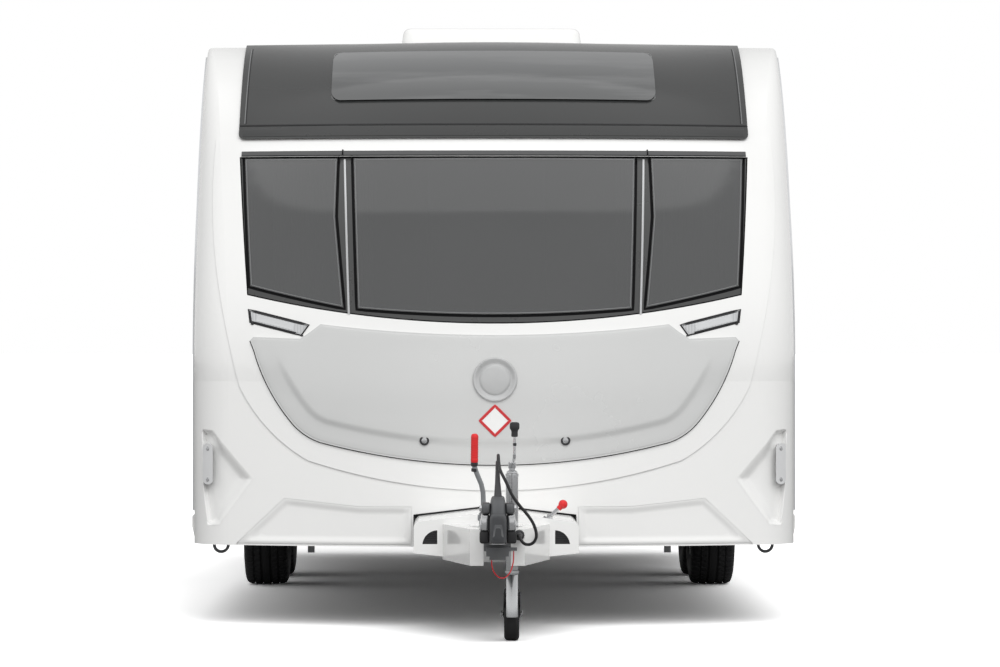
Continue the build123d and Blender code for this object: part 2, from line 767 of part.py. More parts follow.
# ---- Axles with their arms, drums and spindles ----
AXLE_AHEAD = 170            # from the axle tube back to the wheel's centre
AXLE_TUBE = 46
AXLE_Z = RAIL_BOTTOM - AXLE_TUBE - 2
ARM_X = (862, 908)
DRUM_X = (908, 1005)
WHEEL_X = TRACK_OUTER - TYRE_WIDTH / 2
SPINDLE_END = WHEEL_X + 58


def axle(wheel_y):
    tube_y = wheel_y - AXLE_AHEAD
    body = rod((-ARM_X[0], tube_y, AXLE_Z), (ARM_X[0], tube_y, AXLE_Z), AXLE_TUBE)
    pocket = (tube_y, AXLE_Z)
    hub = (wheel_y, TYRE_RADIUS)
    lean = atan2(hub[1] - pocket[1], hub[0] - pocket[0])
    side_y, side_z = -sin(lean), cos(lean)
    arm_face = outline(
        (pocket[0] + 58 * side_y, pocket[1] + 58 * side_z),
        ((pocket[0] - 58 * cos(lean), pocket[1] - 58 * sin(lean)),
         (pocket[0] - 58 * side_y, pocket[1] - 58 * side_z)),
        (hub[0] - 45 * side_y, hub[1] - 45 * side_z),
        ((hub[0] + 45 * cos(lean), hub[1] + 45 * sin(lean)),
         (hub[0] + 45 * side_y, hub[1] + 45 * side_z)),
    )
    for side in (1, -1):
        x = sorted((side * ARM_X[0], side * ARM_X[1]))
        body += sideways(arm_face, *x)
        body += rod((side * DRUM_X[0], *hub), (side * DRUM_X[1], *hub), 124)
        body += rod((side * DRUM_X[0], *hub), (side * SPINDLE_END, *hub), SPINDLE)
        x = sorted((side * 812, side * 842))
        body += block(x, (tube_y - 30, tube_y + 30), (155, AXLE_Z))
        x = sorted((side * FLANGE_X, side * RAIL_X))
        body += block(x, (tube_y - 75, tube_y + 75), (AXLE_Z - 20, RAIL_BOTTOM))
    return body


save("axles", *[axle(y) for y in AXLE_Y])


# ---- Wheels ----
tyre_face = outline(
    (-84, RIM_RADIUS + FIT),
    (84, RIM_RADIUS + FIT),
    ((TYRE_WIDTH / 2, 268), (92, 322)),
    ((88, 331), (78, TYRE_RADIUS)),
    (-78, TYRE_RADIUS),
    ((-88, 331), (-92, 322)),
    ((-TYRE_WIDTH / 2, 268), (-84, RIM_RADIUS + FIT)),
)
barrel_face = outline(
    (-92, RIM_RADIUS - RIM_WALL),
    (92, RIM_RADIUS - RIM_WALL),
    (92, RIM_RADIUS),
    (-92, RIM_RADIUS),
)
hub_line = Axis((0, 0, 0), (1, 0, 0))
tyre = revolve(tyre_face, hub_line)
rim = revolve(barrel_face, hub_line)
rim += rod((46, 0, 0), (62, 0, 0), RIM_RADIUS - RIM_WALL + 1)
rim += rod((-20, 0, 0), (74, 0, 0), 62)
opening = outline((-20, 78), (20, 78), (44, 168), ((0, 180), (-44, 168)))
opening = fillet(opening.vertices(), 8)
for spoke in range(7):
    cutter = extrude(Plane(origin=(30, 0, 0), x_dir=(0, 1, 0), z_dir=(1, 0, 0)) * opening, 60)
    rim -= Rot(spoke * 360 / 7, 0, 0) * cutter
bore_end = SPINDLE_END - WHEEL_X + 1
rim -= rod((-30, 0, 0), (bore_end, 0, 0), SPINDLE + RUNNING)
rim += rod((bore_end, 0, 0), (86, 0, 0), 36)
wheel_names = (("front", AXLE_Y[0]), ("rear", AXLE_Y[1]))
for place, y in wheel_names:
    centre = Pos(WHEEL_X, y, TYRE_RADIUS)
    save(f"tyre_{place}_nearside", centre * tyre)
    save(f"tyre_{place}_offside", flip(centre * tyre))
    save(f"rim_{place}_nearside", centre * rim)
    save(f"rim_{place}_offside", flip(centre * rim))

# ---- A-frame fairing, with a sleeve along each member of the A-frame ----
SLEEVE_ROOT = 206           # outer face of a sleeve where it leaves the fairing
SLEEVE_TIP = 102            # and at its front end
SLEEVE_FRONT_Y = DRAW_TIP_Y - 6
SLEEVE_SKIN = 5
SLEEVE_TOP = (DRAW_Z[1] + FIT, DRAW_Z[1] + FIT + SLEEVE_SKIN)
NOTCH_Y = JOCKEY_Y + 50     # the cover stops here between the two members


def member_x(y):
    """The inner face of an A-frame member at a place along it."""
    return DRAW_TIP_X + (FLANGE_X - DRAW_TIP_X) * (y - DRAW_TIP_Y) / (RAIL_FRONT_Y - DRAW_TIP_Y)


root_y = FAIRING_FRONT_Y + 5
tip_inner = DRAW_TIP_X + 1
notch_x = member_x(NOTCH_Y) - 3
sleeve_top = outline(
    (tip_inner, SLEEVE_FRONT_Y),
    (SLEEVE_TIP, SLEEVE_FRONT_Y),
    (SLEEVE_ROOT, root_y),
    (0, root_y),
    (0, NOTCH_Y),
    (notch_x, NOTCH_Y),
)
sleeve_side = outline(
    (SLEEVE_TIP - SLEEVE_SKIN, SLEEVE_FRONT_Y),
    (SLEEVE_TIP, SLEEVE_FRONT_Y),
    (SLEEVE_ROOT, root_y),
    (SLEEVE_ROOT - SLEEVE_SKIN, root_y),
)
sleeve = upwards(sleeve_top, *SLEEVE_TOP) + upwards(sleeve_side, FAIRING_BOTTOM, SLEEVE_TOP[1])
sleeve += block(
    (tip_inner, SLEEVE_TIP - SLEEVE_SKIN / 2),
    (SLEEVE_FRONT_Y, SLEEVE_FRONT_Y + SLEEVE_SKIN),
    (FAIRING_BOTTOM, SLEEVE_TOP[1]),
)
cover = sleeve + flip(sleeve)
cover += block((1 - notch_x, notch_x - 1), (NOTCH_Y, NOTCH_Y + SLEEVE_SKIN), (FAIRING_BOTTOM, SLEEVE_TOP[1]))
fairing = across(fairing_outline, FAIRING_FRONT_Y, FAIRING_REAR_Y)
fairing = fillet(fairing.edges().filter_by(Axis.Y).group_by(Axis.Z)[2], 25)
hollow_outline = outline(
    (6 - FAIRING_HALF, 0),
    (FAIRING_HALF - 6, 0),
    (FAIRING_HALF - 6, FAIRING_SIDE_TOP - 7),
    (0, FAIRING_TOP - 7),
    (6 - FAIRING_HALF, FAIRING_SIDE_TOP - 7),
)
fairing -= across(hollow_outline, FAIRING_FRONT_Y + 6, FAIRING_REAR_Y + 5)
for rib_y in (FAIRING_FRONT_Y + 270, FAIRING_REAR_Y - 60):
    fairing += block((-230, 230), (rib_y, rib_y + 10), (DRAW_Z[1] + FIT, FAIRING_SIDE_TOP + 5))
mouth = ((2 - SLEEVE_ROOT, SLEEVE_ROOT - 2), (FAIRING_FRONT_Y - 5, FAIRING_FRONT_Y + 10))
fairing -= block(*mouth, (0, SLEEVE_TOP[1] - 2))
fairing += cover
vent_face = outline((226, 363), (283, 363), ((265, 400), (226, 416)))
for vent in pair(across(vent_face, FAIRING_FRONT_Y - 5, FAIRING_FRONT_Y + 10)):
    fairing -= vent
save("aframe_fairing", fairing)

# ---- Overrun device, coupling head and hand levers ----
HOUSING_Y = (-1500, -1260)
HOUSING_Z = (360, 475)
HOUSING_HALF = DRAW_TIP_X - FIT
DRAW_BAR = 27
GAITER = ((-1632, 31), (-1606, 40), (-1580, 34), (-1554, 42), (-1528, 36), (-1504, 46))
housing = block((-HOUSING_HALF, HOUSING_HALF), HOUSING_Y, HOUSING_Z)
housing = fillet(housing.edges().filter_by(Axis.Y).group_by(Axis.Z)[-1], 14)
housing += block((-42, 42), (-1596, HOUSING_Y[0]), (345, 378))
housing += block((-30, 30), (-1596, -1572), (332, 345))
housing += block((30, 72), (-1592, -1566), (366, 378))
bellows = outline((0, GAITER[0][0]), *[(r, y) for y, r in GAITER], (0, HOUSING_Y[0]))
bellows_plane = Plane(origin=(0, 0, BALL_Z), x_dir=(1, 0, 0), z_dir=(0, 0, 1))
bellows = revolve(bellows_plane * bellows, Axis((0, 0, BALL_Z), (0, 1, 0)))
gland = rod((15, -1262, 487), (15, -1290, 487), 9)
housing += block((2, 28), (-1285, HOUSING_Y[1]), (470, 498))
save("overrun_device", housing + gland)

head_profile = outline(
    (BALL_Y + 128, 395),
    (BALL_Y - 70, 400),
    ((COUPLING_NOSE_Y + 5, 415), (COUPLING_NOSE_Y, 450)),
    ((COUPLING_NOSE_Y + 18, 508), (BALL_Y - 30, 545)),
    ((BALL_Y + 10, 560), (BALL_Y + 60, 540)),
    (BALL_Y + 128, 478),
)
head = sideways(head_profile, -40, 40)
head = fillet(head.edges().filter_by(GeomType.LINE).filter_by(Axis.X, reverse=True).group_by(Axis.Z)[-1], 4)
for side in (1, -1):
    x = sorted((side * 38, side * 58))
    head += sideways(Pos(BALL_Y + 10, 526.5) * RectangleRounded(110, 40, 16), *x)
socket = rod((0, BALL_Y, 300), (0, BALL_Y, BALL_Z + 8), BALL_RADIUS + 0.4)
head -= socket
lever = outline(
    (BALL_Y + 20, 540),
    (BALL_Y - 6, 556),
    (BALL_Y + 60, 612),
    (BALL_Y + 228, 694),
    (BALL_Y + 262, 690),
    (BALL_Y + 262, 676),
    (BALL_Y + 90, 556),
)
head += sideways(lever, -15, 15)
save("coupling_head", head)
lobes = []
pads = []
for side in (1, -1):
    x = sorted((side * 40.3, side * 64))
    lobe = sideways(Pos(BALL_Y - 4, 470) * RectangleRounded(78, 66, 30), *x)
    lobes.append(lobe)
    pads.append(sideways(Pos(BALL_Y - 4, 420) * RectangleRounded(58, 30, 12), *x))
save("stabiliser_arms", *lobes)
save("rubber_gaiter_and_pads", bellows, *pads)

brake = block((-66, -HOUSING_HALF - 0.3), (-1330, -1290), (440, 500))
brake_bend = ((-58, -1310, 480), (-62, -1318, 560), (-78, -1334, 690))
for start, end in zip(brake_bend, brake_bend[1:]):
    brake += rod(start, end, 10)
brake += Pos(*brake_bend[1]) * Sphere(10)
grip_end = (-88, -1346, 783)
brake += rod(brake_bend[-1], grip_end, 14) + Pos(*grip_end) * Sphere(14)
clamp_handle = rod((196, -900, 456), (254, -900, 510), 13.5) + Pos(258, -900, 513) * Sphere(18)
save("hand_levers", brake, clamp_handle - across(offset(fairing_outline, amount=FIT), -990, -800))

# ---- Jockey wheel ----
INNER_TUBE = 20
FORK_TUBE = 23
STEM = 12
TUBE_LOW = 260
TRAIL = 132                 # from the swivel line back to the jockey's axle
JOCKEY_WIDTH = 55


def at_jockey(z, radius, top):
    return rod((JOCKEY_X, JOCKEY_Y, z), (JOCKEY_X, JOCKEY_Y, top), radius)


outer_tube = at_jockey(TUBE_LOW, JOCKEY_OUTER, 640)
outer_tube += block((JOCKEY_X - 30, 93.2), (JOCKEY_Y - 30, JOCKEY_Y + 30), (385, 425))
outer_tube += at_jockey(630, 12, 682)
outer_tube -= at_jockey(TUBE_LOW - 5, INNER_TUBE + RUNNING, 600)
CRANK = (JOCKEY_X + 8, JOCKEY_Y - 62)  # where the crank's handle stands
crank = rod((JOCKEY_X, JOCKEY_Y, 672), (*CRANK, 700), 7)
crank += rod((*CRANK, 696), (CRANK[0] + 6, CRANK[1], 800), 5)
knob = rod((CRANK[0] + 5, CRANK[1], 782), (CRANK[0] + 6, CRANK[1], 834), 17)
outer_tube += crank + knob
save("jockey_outer_tube", outer_tube)
inner_tube = at_jockey(TUBE_LOW, INNER_TUBE, 590) + at_jockey(140, STEM, TUBE_LOW + 10)
save("jockey_inner_tube", inner_tube)
fork = at_jockey(91, FORK_TUBE, TUBE_LOW - FIT) - at_jockey(135, STEM + RUNNING, TUBE_LOW + 5)
axle_y = JOCKEY_Y + TRAIL
for side in (1, -1):
    x = sorted((JOCKEY_X + side * 31, JOCKEY_X + side * 36))
    plate = outline(
        (JOCKEY_Y - 10, 96),
        (JOCKEY_Y + 14, 96),
        (axle_y, JOCKEY_WHEEL - 18),
        ((axle_y + 18, JOCKEY_WHEEL), (axle_y, JOCKEY_WHEEL + 18)),
        (JOCKEY_Y + 16, 176),
        (JOCKEY_Y - 10, 176),
    )
    fork += sideways(plate, *x)
fork += block((JOCKEY_X - 36, JOCKEY_X + 36), (JOCKEY_Y - 12, JOCKEY_Y + 12), (96, 134))
jockey_axle = (JOCKEY_X - 40, axle_y, JOCKEY_WHEEL), (JOCKEY_X + 40, axle_y, JOCKEY_WHEEL)
fork += rod(*jockey_axle, 8)
save("jockey_fork", fork)
wheel_face = outline(
    (-26, 8 + RUNNING),
    (26, 8 + RUNNING),
    (26, 30),
    (14, 36),
    (14, 72),
    (JOCKEY_WIDTH / 2, 80),
    ((24, 98), (8, JOCKEY_WHEEL)),
    (-8, JOCKEY_WHEEL),
    ((-24, 98), (-JOCKEY_WIDTH / 2, 80)),
    (-14, 72),
    (-14, 36),
    (-26, 30),
)
jockey_wheel = revolve(wheel_face, hub_line)
save("jockey_wheel", Pos(JOCKEY_X, axle_y, JOCKEY_WHEEL) * jockey_wheel)

# ---- Corner steadies ----
STEADY_X = (1100, 1146)
STEADY_LENGTH = 480
STEADY_Z = 400
STEADY_PIN = 8
RING = 35
# Columns: name, Y of the guide ring, direction from the ring to the leg's foot.
STEADIES = (("front", 400, 1), ("rear", 5650, -1))
brackets = []
for place, ring_y, way in STEADIES:
    pivot_y = ring_y + way * 200
    foot_y = pivot_y + way * STEADY_LENGTH
    span = sorted((ring_y, foot_y + way * 60))
    x_mid = sum(STEADY_X) / 2
    bracket = block((STEADY_X[0] - 14, STEADY_X[1] + 14), span, (FLOOR_BOTTOM - 8, FLOOR_BOTTOM))
    cheek_y = sorted((pivot_y - way * 36, pivot_y + way * 36))
    for x in ((STEADY_X[0] - 10, STEADY_X[0] - 5), (STEADY_X[1] + 5, STEADY_X[1] + 10)):
        bracket += block(x, cheek_y, (STEADY_Z - 20, FLOOR_BOTTOM))
    pin = (STEADY_X[0] - 12, pivot_y, STEADY_Z), (STEADY_X[1] + 12, pivot_y, STEADY_Z)
    bracket += rod(*pin, STEADY_PIN)
    ring_z = PANEL_BOTTOM - 25
    bracket += block((x_mid - 6, x_mid + 6), sorted((ring_y, ring_y + way * 12)), (ring_z + 28, FLOOR_BOTTOM))
    ring_ends = (x_mid, ring_y, ring_z), (x_mid, ring_y + way * 12, ring_z)
    bracket += pipe(*ring_ends, RING, RING - 12)
    brackets += pair(bracket)
    leg_y = sorted((pivot_y - way * 16, foot_y))
    leg = block(STEADY_X, leg_y, (STEADY_Z - 22, STEADY_Z + 22))
    leg -= block((STEADY_X[0] + 4, STEADY_X[1] - 4), (leg_y[0] - 1, leg_y[1] + 1), (0, STEADY_Z + 18))
    foot_span = sorted((foot_y - way * 8, foot_y))
    leg += block((STEADY_X[0] - 14, STEADY_X[1] + 14), foot_span, (STEADY_Z - 50, STEADY_Z + 30))
    leg -= rod(*pin, STEADY_PIN + RUNNING)
    save(f"steady_{place}_nearside", leg)
    save(f"steady_{place}_offside", flip(leg))
save("steady_brackets", *brackets)

# ---- Inside, as seen through the windows ----
SEAT_TOP = 880
PANEL = 16
WALL_X = INNER_HALF


def cabinet(x, y, z):
    """A cabinet open on the side that stands against the wall."""
    inside = ((x[0] + PANEL, x[1] + PANEL), (y[0] + PANEL, y[1] - PANEL), (z[0] - PANEL, z[1] - PANEL))
    return block(x, y, z) - block(*inside)


bench = cabinet((640, WALL_X), (400, 2330), (FLOOR_TOP, SEAT_TOP))
kitchen = block((660, WALL_X), (2360, 4270), (BOX_TOP, 1300))
kitchen += block((660, 676), (2360, 4270), (FLOOR_TOP, BOX_TOP))
locker = block((900, WALL_X - FIT), (1150, 4270), (1900, 2280))
furniture = [*pair(bench), kitchen, flip(kitchen), *pair(locker)]
furniture.append(block((-290, 290), (61, 520), (FLOOR_TOP, 1150)))
room = rear_form(WALL + FIT)
partition = block((-FAR, FAR), (4990, 5010), (FLOOR_TOP, FAR)) & room
partition -= block((-300, 300), (4980, 5020), (0, 2250))
furniture.append(partition)
furniture.append(block((-900, 900), (5290, REAR_Y - WALL - 1), (FLOOR_TOP, 900)))
save("interior_furniture", *furniture)

cushions = []
for y in ((410, 1360), (1366, 2320)):
    cushions += pair(block((650, 1030), y, (SEAT_TOP + FIT, SEAT_TOP + 130)))
    cushions += pair(block((1034, WALL_X - 3), y, (SEAT_TOP + FIT, SEAT_TOP + 480)))
cushions.append(block((-890, 890), (5300, REAR_Y - WALL - 10), (900 + FIT, 1060)))
save("sofa_and_bed_cushions", *cushions)

curtains = []
for x, y in (((690, 905), (207.7, 257)), ((492, 575), (67, 116.3))):
    curtains += pair(block(x, y, (SHELF_Z + 45, 1890)))
save("front_curtains", *curtains)

# ---- Free cables ----
CABLE = 5.75                # radius of the vehicle's electric lead
WIRE = 2.25                 # radius of the breakaway cable
CABLE_ROUTE = (
    (15, -1290, 487),
    (15, -1325, 487),
    (13, -1368, 486),
    (9, -1412, 488),
    (6, -1446, 510),
    (4, -1464, 556),
    (3, -1473, 612),
    (3, -1478, 664),
    (3, -1490, 706),
    (3, -1518, 722),
    (4, -1556, 708),
    (6, -1600, 680),
    (11, -1640, 660),
    (31, -1666, 624),
    (52, -1676, 574),
    (82, -1680, 534),
    (108, -1680, 506),
    (130, -1678, 474),
    (142, -1674, 442),
    (143, -1668, 416),
    (130, -1660, 396),
    (110, -1648, 390),
    (94, -1626, 396),
    (86, -1600, 408),
    (82, -1570, 420),
    (82, -1540, 420),
)
WIRE_ROUTE = (
    (-22, -1584, 332),
    (-22, -1584, 312),
    (-16, -1586, 290),
    (-2, -1586, 271),
    (18, -1584, 262),
    (38, -1582, 272),
    (51, -1580, 294),
    (58, -1579, 320),
    (60, -1579, 343),
    (60, -1579, 366),
)


def cord(route, radius):
    """A tube along straight runs and tangent arcs, as large as the runs allow."""
    points = [Vector(*point) for point in route]
    radii = []
    for before, here, after in zip(points, points[1:], points[2:]):
        turn = radians((here - before).get_angle(after - here))
        shorter = min((here - before).length, (after - here).length)
        radii.append(0.45 * shorter * cos(turn / 2) / sin(turn / 2))
    path = FilletPolyline(*points, radius=radii)
    start = Plane(origin=points[0], z_dir=points[1] - points[0])
    tube = sweep(start * Circle(radius), path=path)
    share = tube.volume / (pi * radius**2 * path.length)
    print("cord length", round(path.length, 1), "volume share", round(share, 4))
    print("smallest radius", round(min(radii), 1), "in diameters", round(min(radii) / radius / 2, 2))
    return tube


save("electric_cable", cord(CABLE_ROUTE, CABLE))
plug = rod((82, -1540, 420), (82, -1522, 420), 11) + rod((82, -1522, 420), (82, -1470, 420), 19)
save("electric_plug", plug)
save("breakaway_cable", cord(WIRE_ROUTE, WIRE))
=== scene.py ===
import json
import math

import bmesh
import bpy
import numpy
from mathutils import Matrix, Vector
from mathutils.bvhtree import BVHTree
from mathutils.geometry import delaunay_2d_cdt


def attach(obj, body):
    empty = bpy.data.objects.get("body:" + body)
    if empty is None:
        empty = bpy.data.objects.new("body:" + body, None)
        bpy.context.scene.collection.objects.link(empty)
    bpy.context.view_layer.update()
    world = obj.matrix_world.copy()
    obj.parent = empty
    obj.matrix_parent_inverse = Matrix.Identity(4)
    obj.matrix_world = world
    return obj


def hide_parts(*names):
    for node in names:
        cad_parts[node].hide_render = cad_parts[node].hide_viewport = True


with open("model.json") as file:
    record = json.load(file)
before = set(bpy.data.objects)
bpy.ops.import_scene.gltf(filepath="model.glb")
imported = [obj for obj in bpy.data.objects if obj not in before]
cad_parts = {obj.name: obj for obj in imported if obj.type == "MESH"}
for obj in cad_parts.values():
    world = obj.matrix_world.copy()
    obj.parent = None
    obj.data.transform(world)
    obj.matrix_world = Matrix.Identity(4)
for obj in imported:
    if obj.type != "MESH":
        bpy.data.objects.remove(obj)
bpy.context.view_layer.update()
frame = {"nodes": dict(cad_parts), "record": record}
NODES = frame["nodes"]
SCENE = bpy.context.scene
SCENE.view_settings.view_transform = "Standard"
MIDDLE_Y = 2150             # working Y of the row frame's origin, in mm
SHARP_DEGREES = 35
SIDES = ((1, "nearside"), (-1, "offside"))
TURN = 2 * math.pi
UP = (0, 0, 1)
BACKWARDS = (0, 1, 0)        # towards the rear of the caravan


def at(x, y, z):
    """A point in working millimetres, Y from the front corners, to the row frame."""
    return Vector((x / 1000, (y - MIDDLE_Y) / 1000, z / 1000))


def add_object(name, data):
    obj = bpy.data.objects.new(name, data)
    SCENE.collection.objects.link(obj)
    return obj


# ---------------------------------------------------------------- materials
class Nodes:
    """A short way to build a node tree."""

    def __init__(self, tree):
        self.tree = tree
        self.shader = tree.nodes.get("Principled BSDF")

    def add(self, kind, inputs=None, **settings):
        node = self.tree.nodes.new(kind)
        for key, value in settings.items():
            setattr(node, key, value)
        for key, value in (inputs or {}).items():
            self.put(node.inputs[key], value)
        return node

    def put(self, socket, value):
        if isinstance(value, bpy.types.NodeSocket):
            self.tree.links.new(value, socket)
        else:
            socket.default_value = value

    def set(self, socket, value):
        """Gives a socket of the main shader a value or a link."""
        self.put(self.shader.inputs[socket], value)

    def noise(self, scale, detail=4.0, rough=0.55, coords=None):
        link = {"Scale": scale, "Detail": detail, "Roughness": rough}
        if coords is not None:
            link["Vector"] = coords
        return self.add("ShaderNodeTexNoise", link).outputs["Fac"]

    def ramp(self, fac, *stops):
        node = self.add("ShaderNodeValToRGB", {"Fac": fac})
        band = node.color_ramp.elements
        while len(band) < len(stops):
            band.new(0.5)
        for element, (place, colour) in zip(band, stops):
            element.position = place
            element.color = (*colour, 1) if len(colour) == 3 else colour
        return node.outputs["Color"]

    def spread(self, fac, low, high, start=0.3, end=0.7):
        return self.add(
            "ShaderNodeMapRange",
            {"Value": fac, "From Min": start, "From Max": end, "To Min": low, "To Max": high},
        ).outputs["Result"]

    def mix(self, fac, one, two, blend="MIX"):
        node = self.add("ShaderNodeMix", data_type="RGBA", blend_type=blend)
        self.put(node.inputs[0], fac)
        self.put(node.inputs[6], one)
        self.put(node.inputs[7], two)
        return node.outputs[2]

    def bump(self, height, strength, distance, normal=None):
        link = {"Height": height, "Strength": strength, "Distance": distance}
        if normal is not None:
            link["Normal"] = normal
        return self.add("ShaderNodeBump", link).outputs["Normal"]

    def either(self, share, one, two):
        shaders = {0: share, 1: one.outputs[0], 2: two.outputs[0]}
        return self.add("ShaderNodeMixShader", shaders)

    def math(self, kind, one, two=0.0):
        node = self.add("ShaderNodeMath", operation=kind)
        self.put(node.inputs[0], one)
        self.put(node.inputs[1], two)
        return node.outputs[0]


def shade(colour, factor):
    return (colour[0] * factor, colour[1] * factor, colour[2] * factor, 1)


def material(
    name, colour, rough=0.4, metal=0.0, vary=0.05, patches=3.0, grain=120.0, bump=0.05,
    depth=0.001, coat=0.0, spec=0.5, alpha=1.0, sheen=0.0, edge=None, rough_vary=0.06,
):
    """A base finish: patchy colour, patchy roughness and a fine grain."""
    mat = bpy.data.materials.new(name)
    mat.use_nodes = True
    mat.diffuse_color = (*colour, 1)
    n = Nodes(mat.node_tree)
    coords = n.add("ShaderNodeTexCoord").outputs["Object"]
    broad = n.noise(patches, 5, 0.6, coords)
    fine = n.noise(grain, 3, 0.5, coords)
    tone = n.mix(n.spread(broad, 0, 1), shade(colour, 1 - vary), shade(colour, 1 + vary * 0.6))
    if edge is not None:
        pointed = n.add("ShaderNodeNewGeometry").outputs["Pointiness"]
        worn = n.spread(pointed, 0, 1, 0.52, 0.58)
        tone = n.mix(worn, tone, (*edge, 1))
    n.set("Base Color", tone)
    low = max(rough - rough_vary, 0.02)
    if rough_vary:
        n.set("Roughness", n.spread(broad, low, rough + rough_vary))
    else:
        n.set("Roughness", rough)
    settings = {
        "Metallic": metal, "Specular IOR Level": spec, "Coat Weight": coat,
        "Coat Roughness": 0.08 if rough_vary else 0.0, "Alpha": alpha,
    }
    if sheen:
        settings.update({"Sheen Weight": sheen, "Sheen Roughness": 0.5})
    for socket, value in settings.items():
        n.set(socket, value)
    if bump:
        n.set("Normal", n.bump(fine, bump, depth))
    return mat, n, coords, tone


def plain(name, colour, rough, vary, patches, grain, bump, depth, **more):
    return material(
        name, colour, rough, vary=vary, patches=patches, grain=grain, bump=bump, depth=depth, **more
    )[0]


def shiny(name, colour, rough, vary=0.05, **more):
    return plain(name, colour, rough, vary, 9, 380, 0.04, 0.0003, **more)


def galvanised_steel():
    mat, n, coords, tone = material(
        "galvanised", (0.42, 0.43, 0.44), 0.46, metal=0.75, vary=0.10, patches=6, grain=160,
        bump=0.08, depth=0.0006,
    )
    cells = n.add("ShaderNodeTexVoronoi", {"Vector": coords, "Scale": 85.0}).outputs["Color"]
    level = n.add("ShaderNodeSeparateColor", {"Color": cells}).outputs[0]
    spangle = n.mix(n.spread(level, 0, 0.5, 0, 1), tone, (0.56, 0.57, 0.58, 1))
    n.set("Base Color", spangle)
    n.set("Roughness", n.spread(level, 0.36, 0.56, 0, 1))
    return mat


def wood(name, light, dark):
    mat, n, coords, tone = material(
        name, light, 0.42, vary=0.06, patches=2, grain=300, bump=0.05, depth=0.0005, coat=0.15,
    )
    turned = n.add("ShaderNodeMapping", {"Vector": coords, "Scale": (7.0, 0.9, 7.0)}).outputs[0]
    wave = n.add(
        "ShaderNodeTexWave",
        {"Vector": turned, "Scale": 1.6, "Distortion": 7.0, "Detail": 4.0, "Detail Scale": 1.6},
        wave_type="BANDS",
    ).outputs["Fac"]
    n.set("Base Color", n.mix(n.spread(wave, 0, 0.55, 0, 1), tone, (*dark, 1)))
    return mat


def fabric(name, colour, dark, threads):
    mat, n, coords, tone = material(
        name, colour, 0.85, vary=0.08, patches=7, grain=160, bump=0, sheen=0.3,
    )
    xyz = n.add("ShaderNodeSeparateXYZ", {"Vector": coords})
    waves = [
        n.math("ABSOLUTE", n.math("SINE", n.math("MULTIPLY", xyz.outputs[axis], threads)))
        for axis in "XYZ"
    ]
    weave = n.math("MULTIPLY", n.math("MULTIPLY", waves[0], waves[1]), waves[2])
    weave = n.math("POWER", weave, 0.35)
    n.set("Base Color", n.mix(weave, (*dark, 1), tone))
    n.set("Normal", n.bump(weave, 0.25, 0.0006))
    return mat


def smoked_glass(name, colour, alpha):
    """Tinted acrylic: a dark glossy face that lets part of the room behind show."""
    return material(
        name, colour, 0.0, vary=0.05, patches=1.2, bump=0, alpha=alpha, coat=1.0, rough_vary=0.0,
    )[0]


def acrylic_painted_sky():
    """The skylight's sheet: dark acrylic with a painted sky reflection, paler towards its top, with
    soft long stripes of painted cloud reflection.
    """
    mat, n, coords, tone = material(
        "acrylic_painted_sky", (0.085, 0.087, 0.088), 0.06, vary=0.05, patches=1.2, bump=0, rough_vary=0.01,
    )
    xyz = n.add("ShaderNodeSeparateXYZ", {"Vector": coords})
    slanted = {"Vector": coords, "Rotation": (0, 0.10, 0), "Scale": (0.9, 1.0, 13.0)}
    turned = n.add("ShaderNodeMapping", slanted).outputs[0]
    # painted reflection: soft long cloud stripes, and the sheet made paler towards its top
    painted_cloud_streaks = n.spread(n.noise(1.5, 4, 0.55, turned), 0, 0.45, 0.5, 0.72)
    painted_sky_reflection = n.mix(n.spread(xyz.outputs["Z"], 0, 1, 2.16, 2.34), tone, (0.155, 0.158, 0.160, 1))
    n.set("Base Color", n.mix(painted_cloud_streaks, painted_sky_reflection, (0.20, 0.203, 0.205, 1)))
    return mat


def lamp_lens():
    clear = (0.66, 0.67, 0.68)
    mat, n, coords, tone = material(
        "lamp_lens", clear, 0.10, metal=0.35, vary=0.08, patches=16, grain=60, bump=0, coat=1.0,
        rough_vary=0.04,
    )
    turned = n.add("ShaderNodeMapping", {"Vector": coords, "Scale": (1.0, 1.0, 0.15)}).outputs[0]
    flutes = n.add(
        "ShaderNodeTexWave", {"Vector": turned, "Scale": 26.0, "Distortion": 0.4},
    ).outputs["Fac"]
    # the flutes' grooves are painted darker than the lens: painted shade in the grooves
    n.set("Base Color", n.mix(flutes, shade(clear, 0.8), tone))
    n.set("Normal", n.bump(flutes, 0.25, 0.002))
    return mat


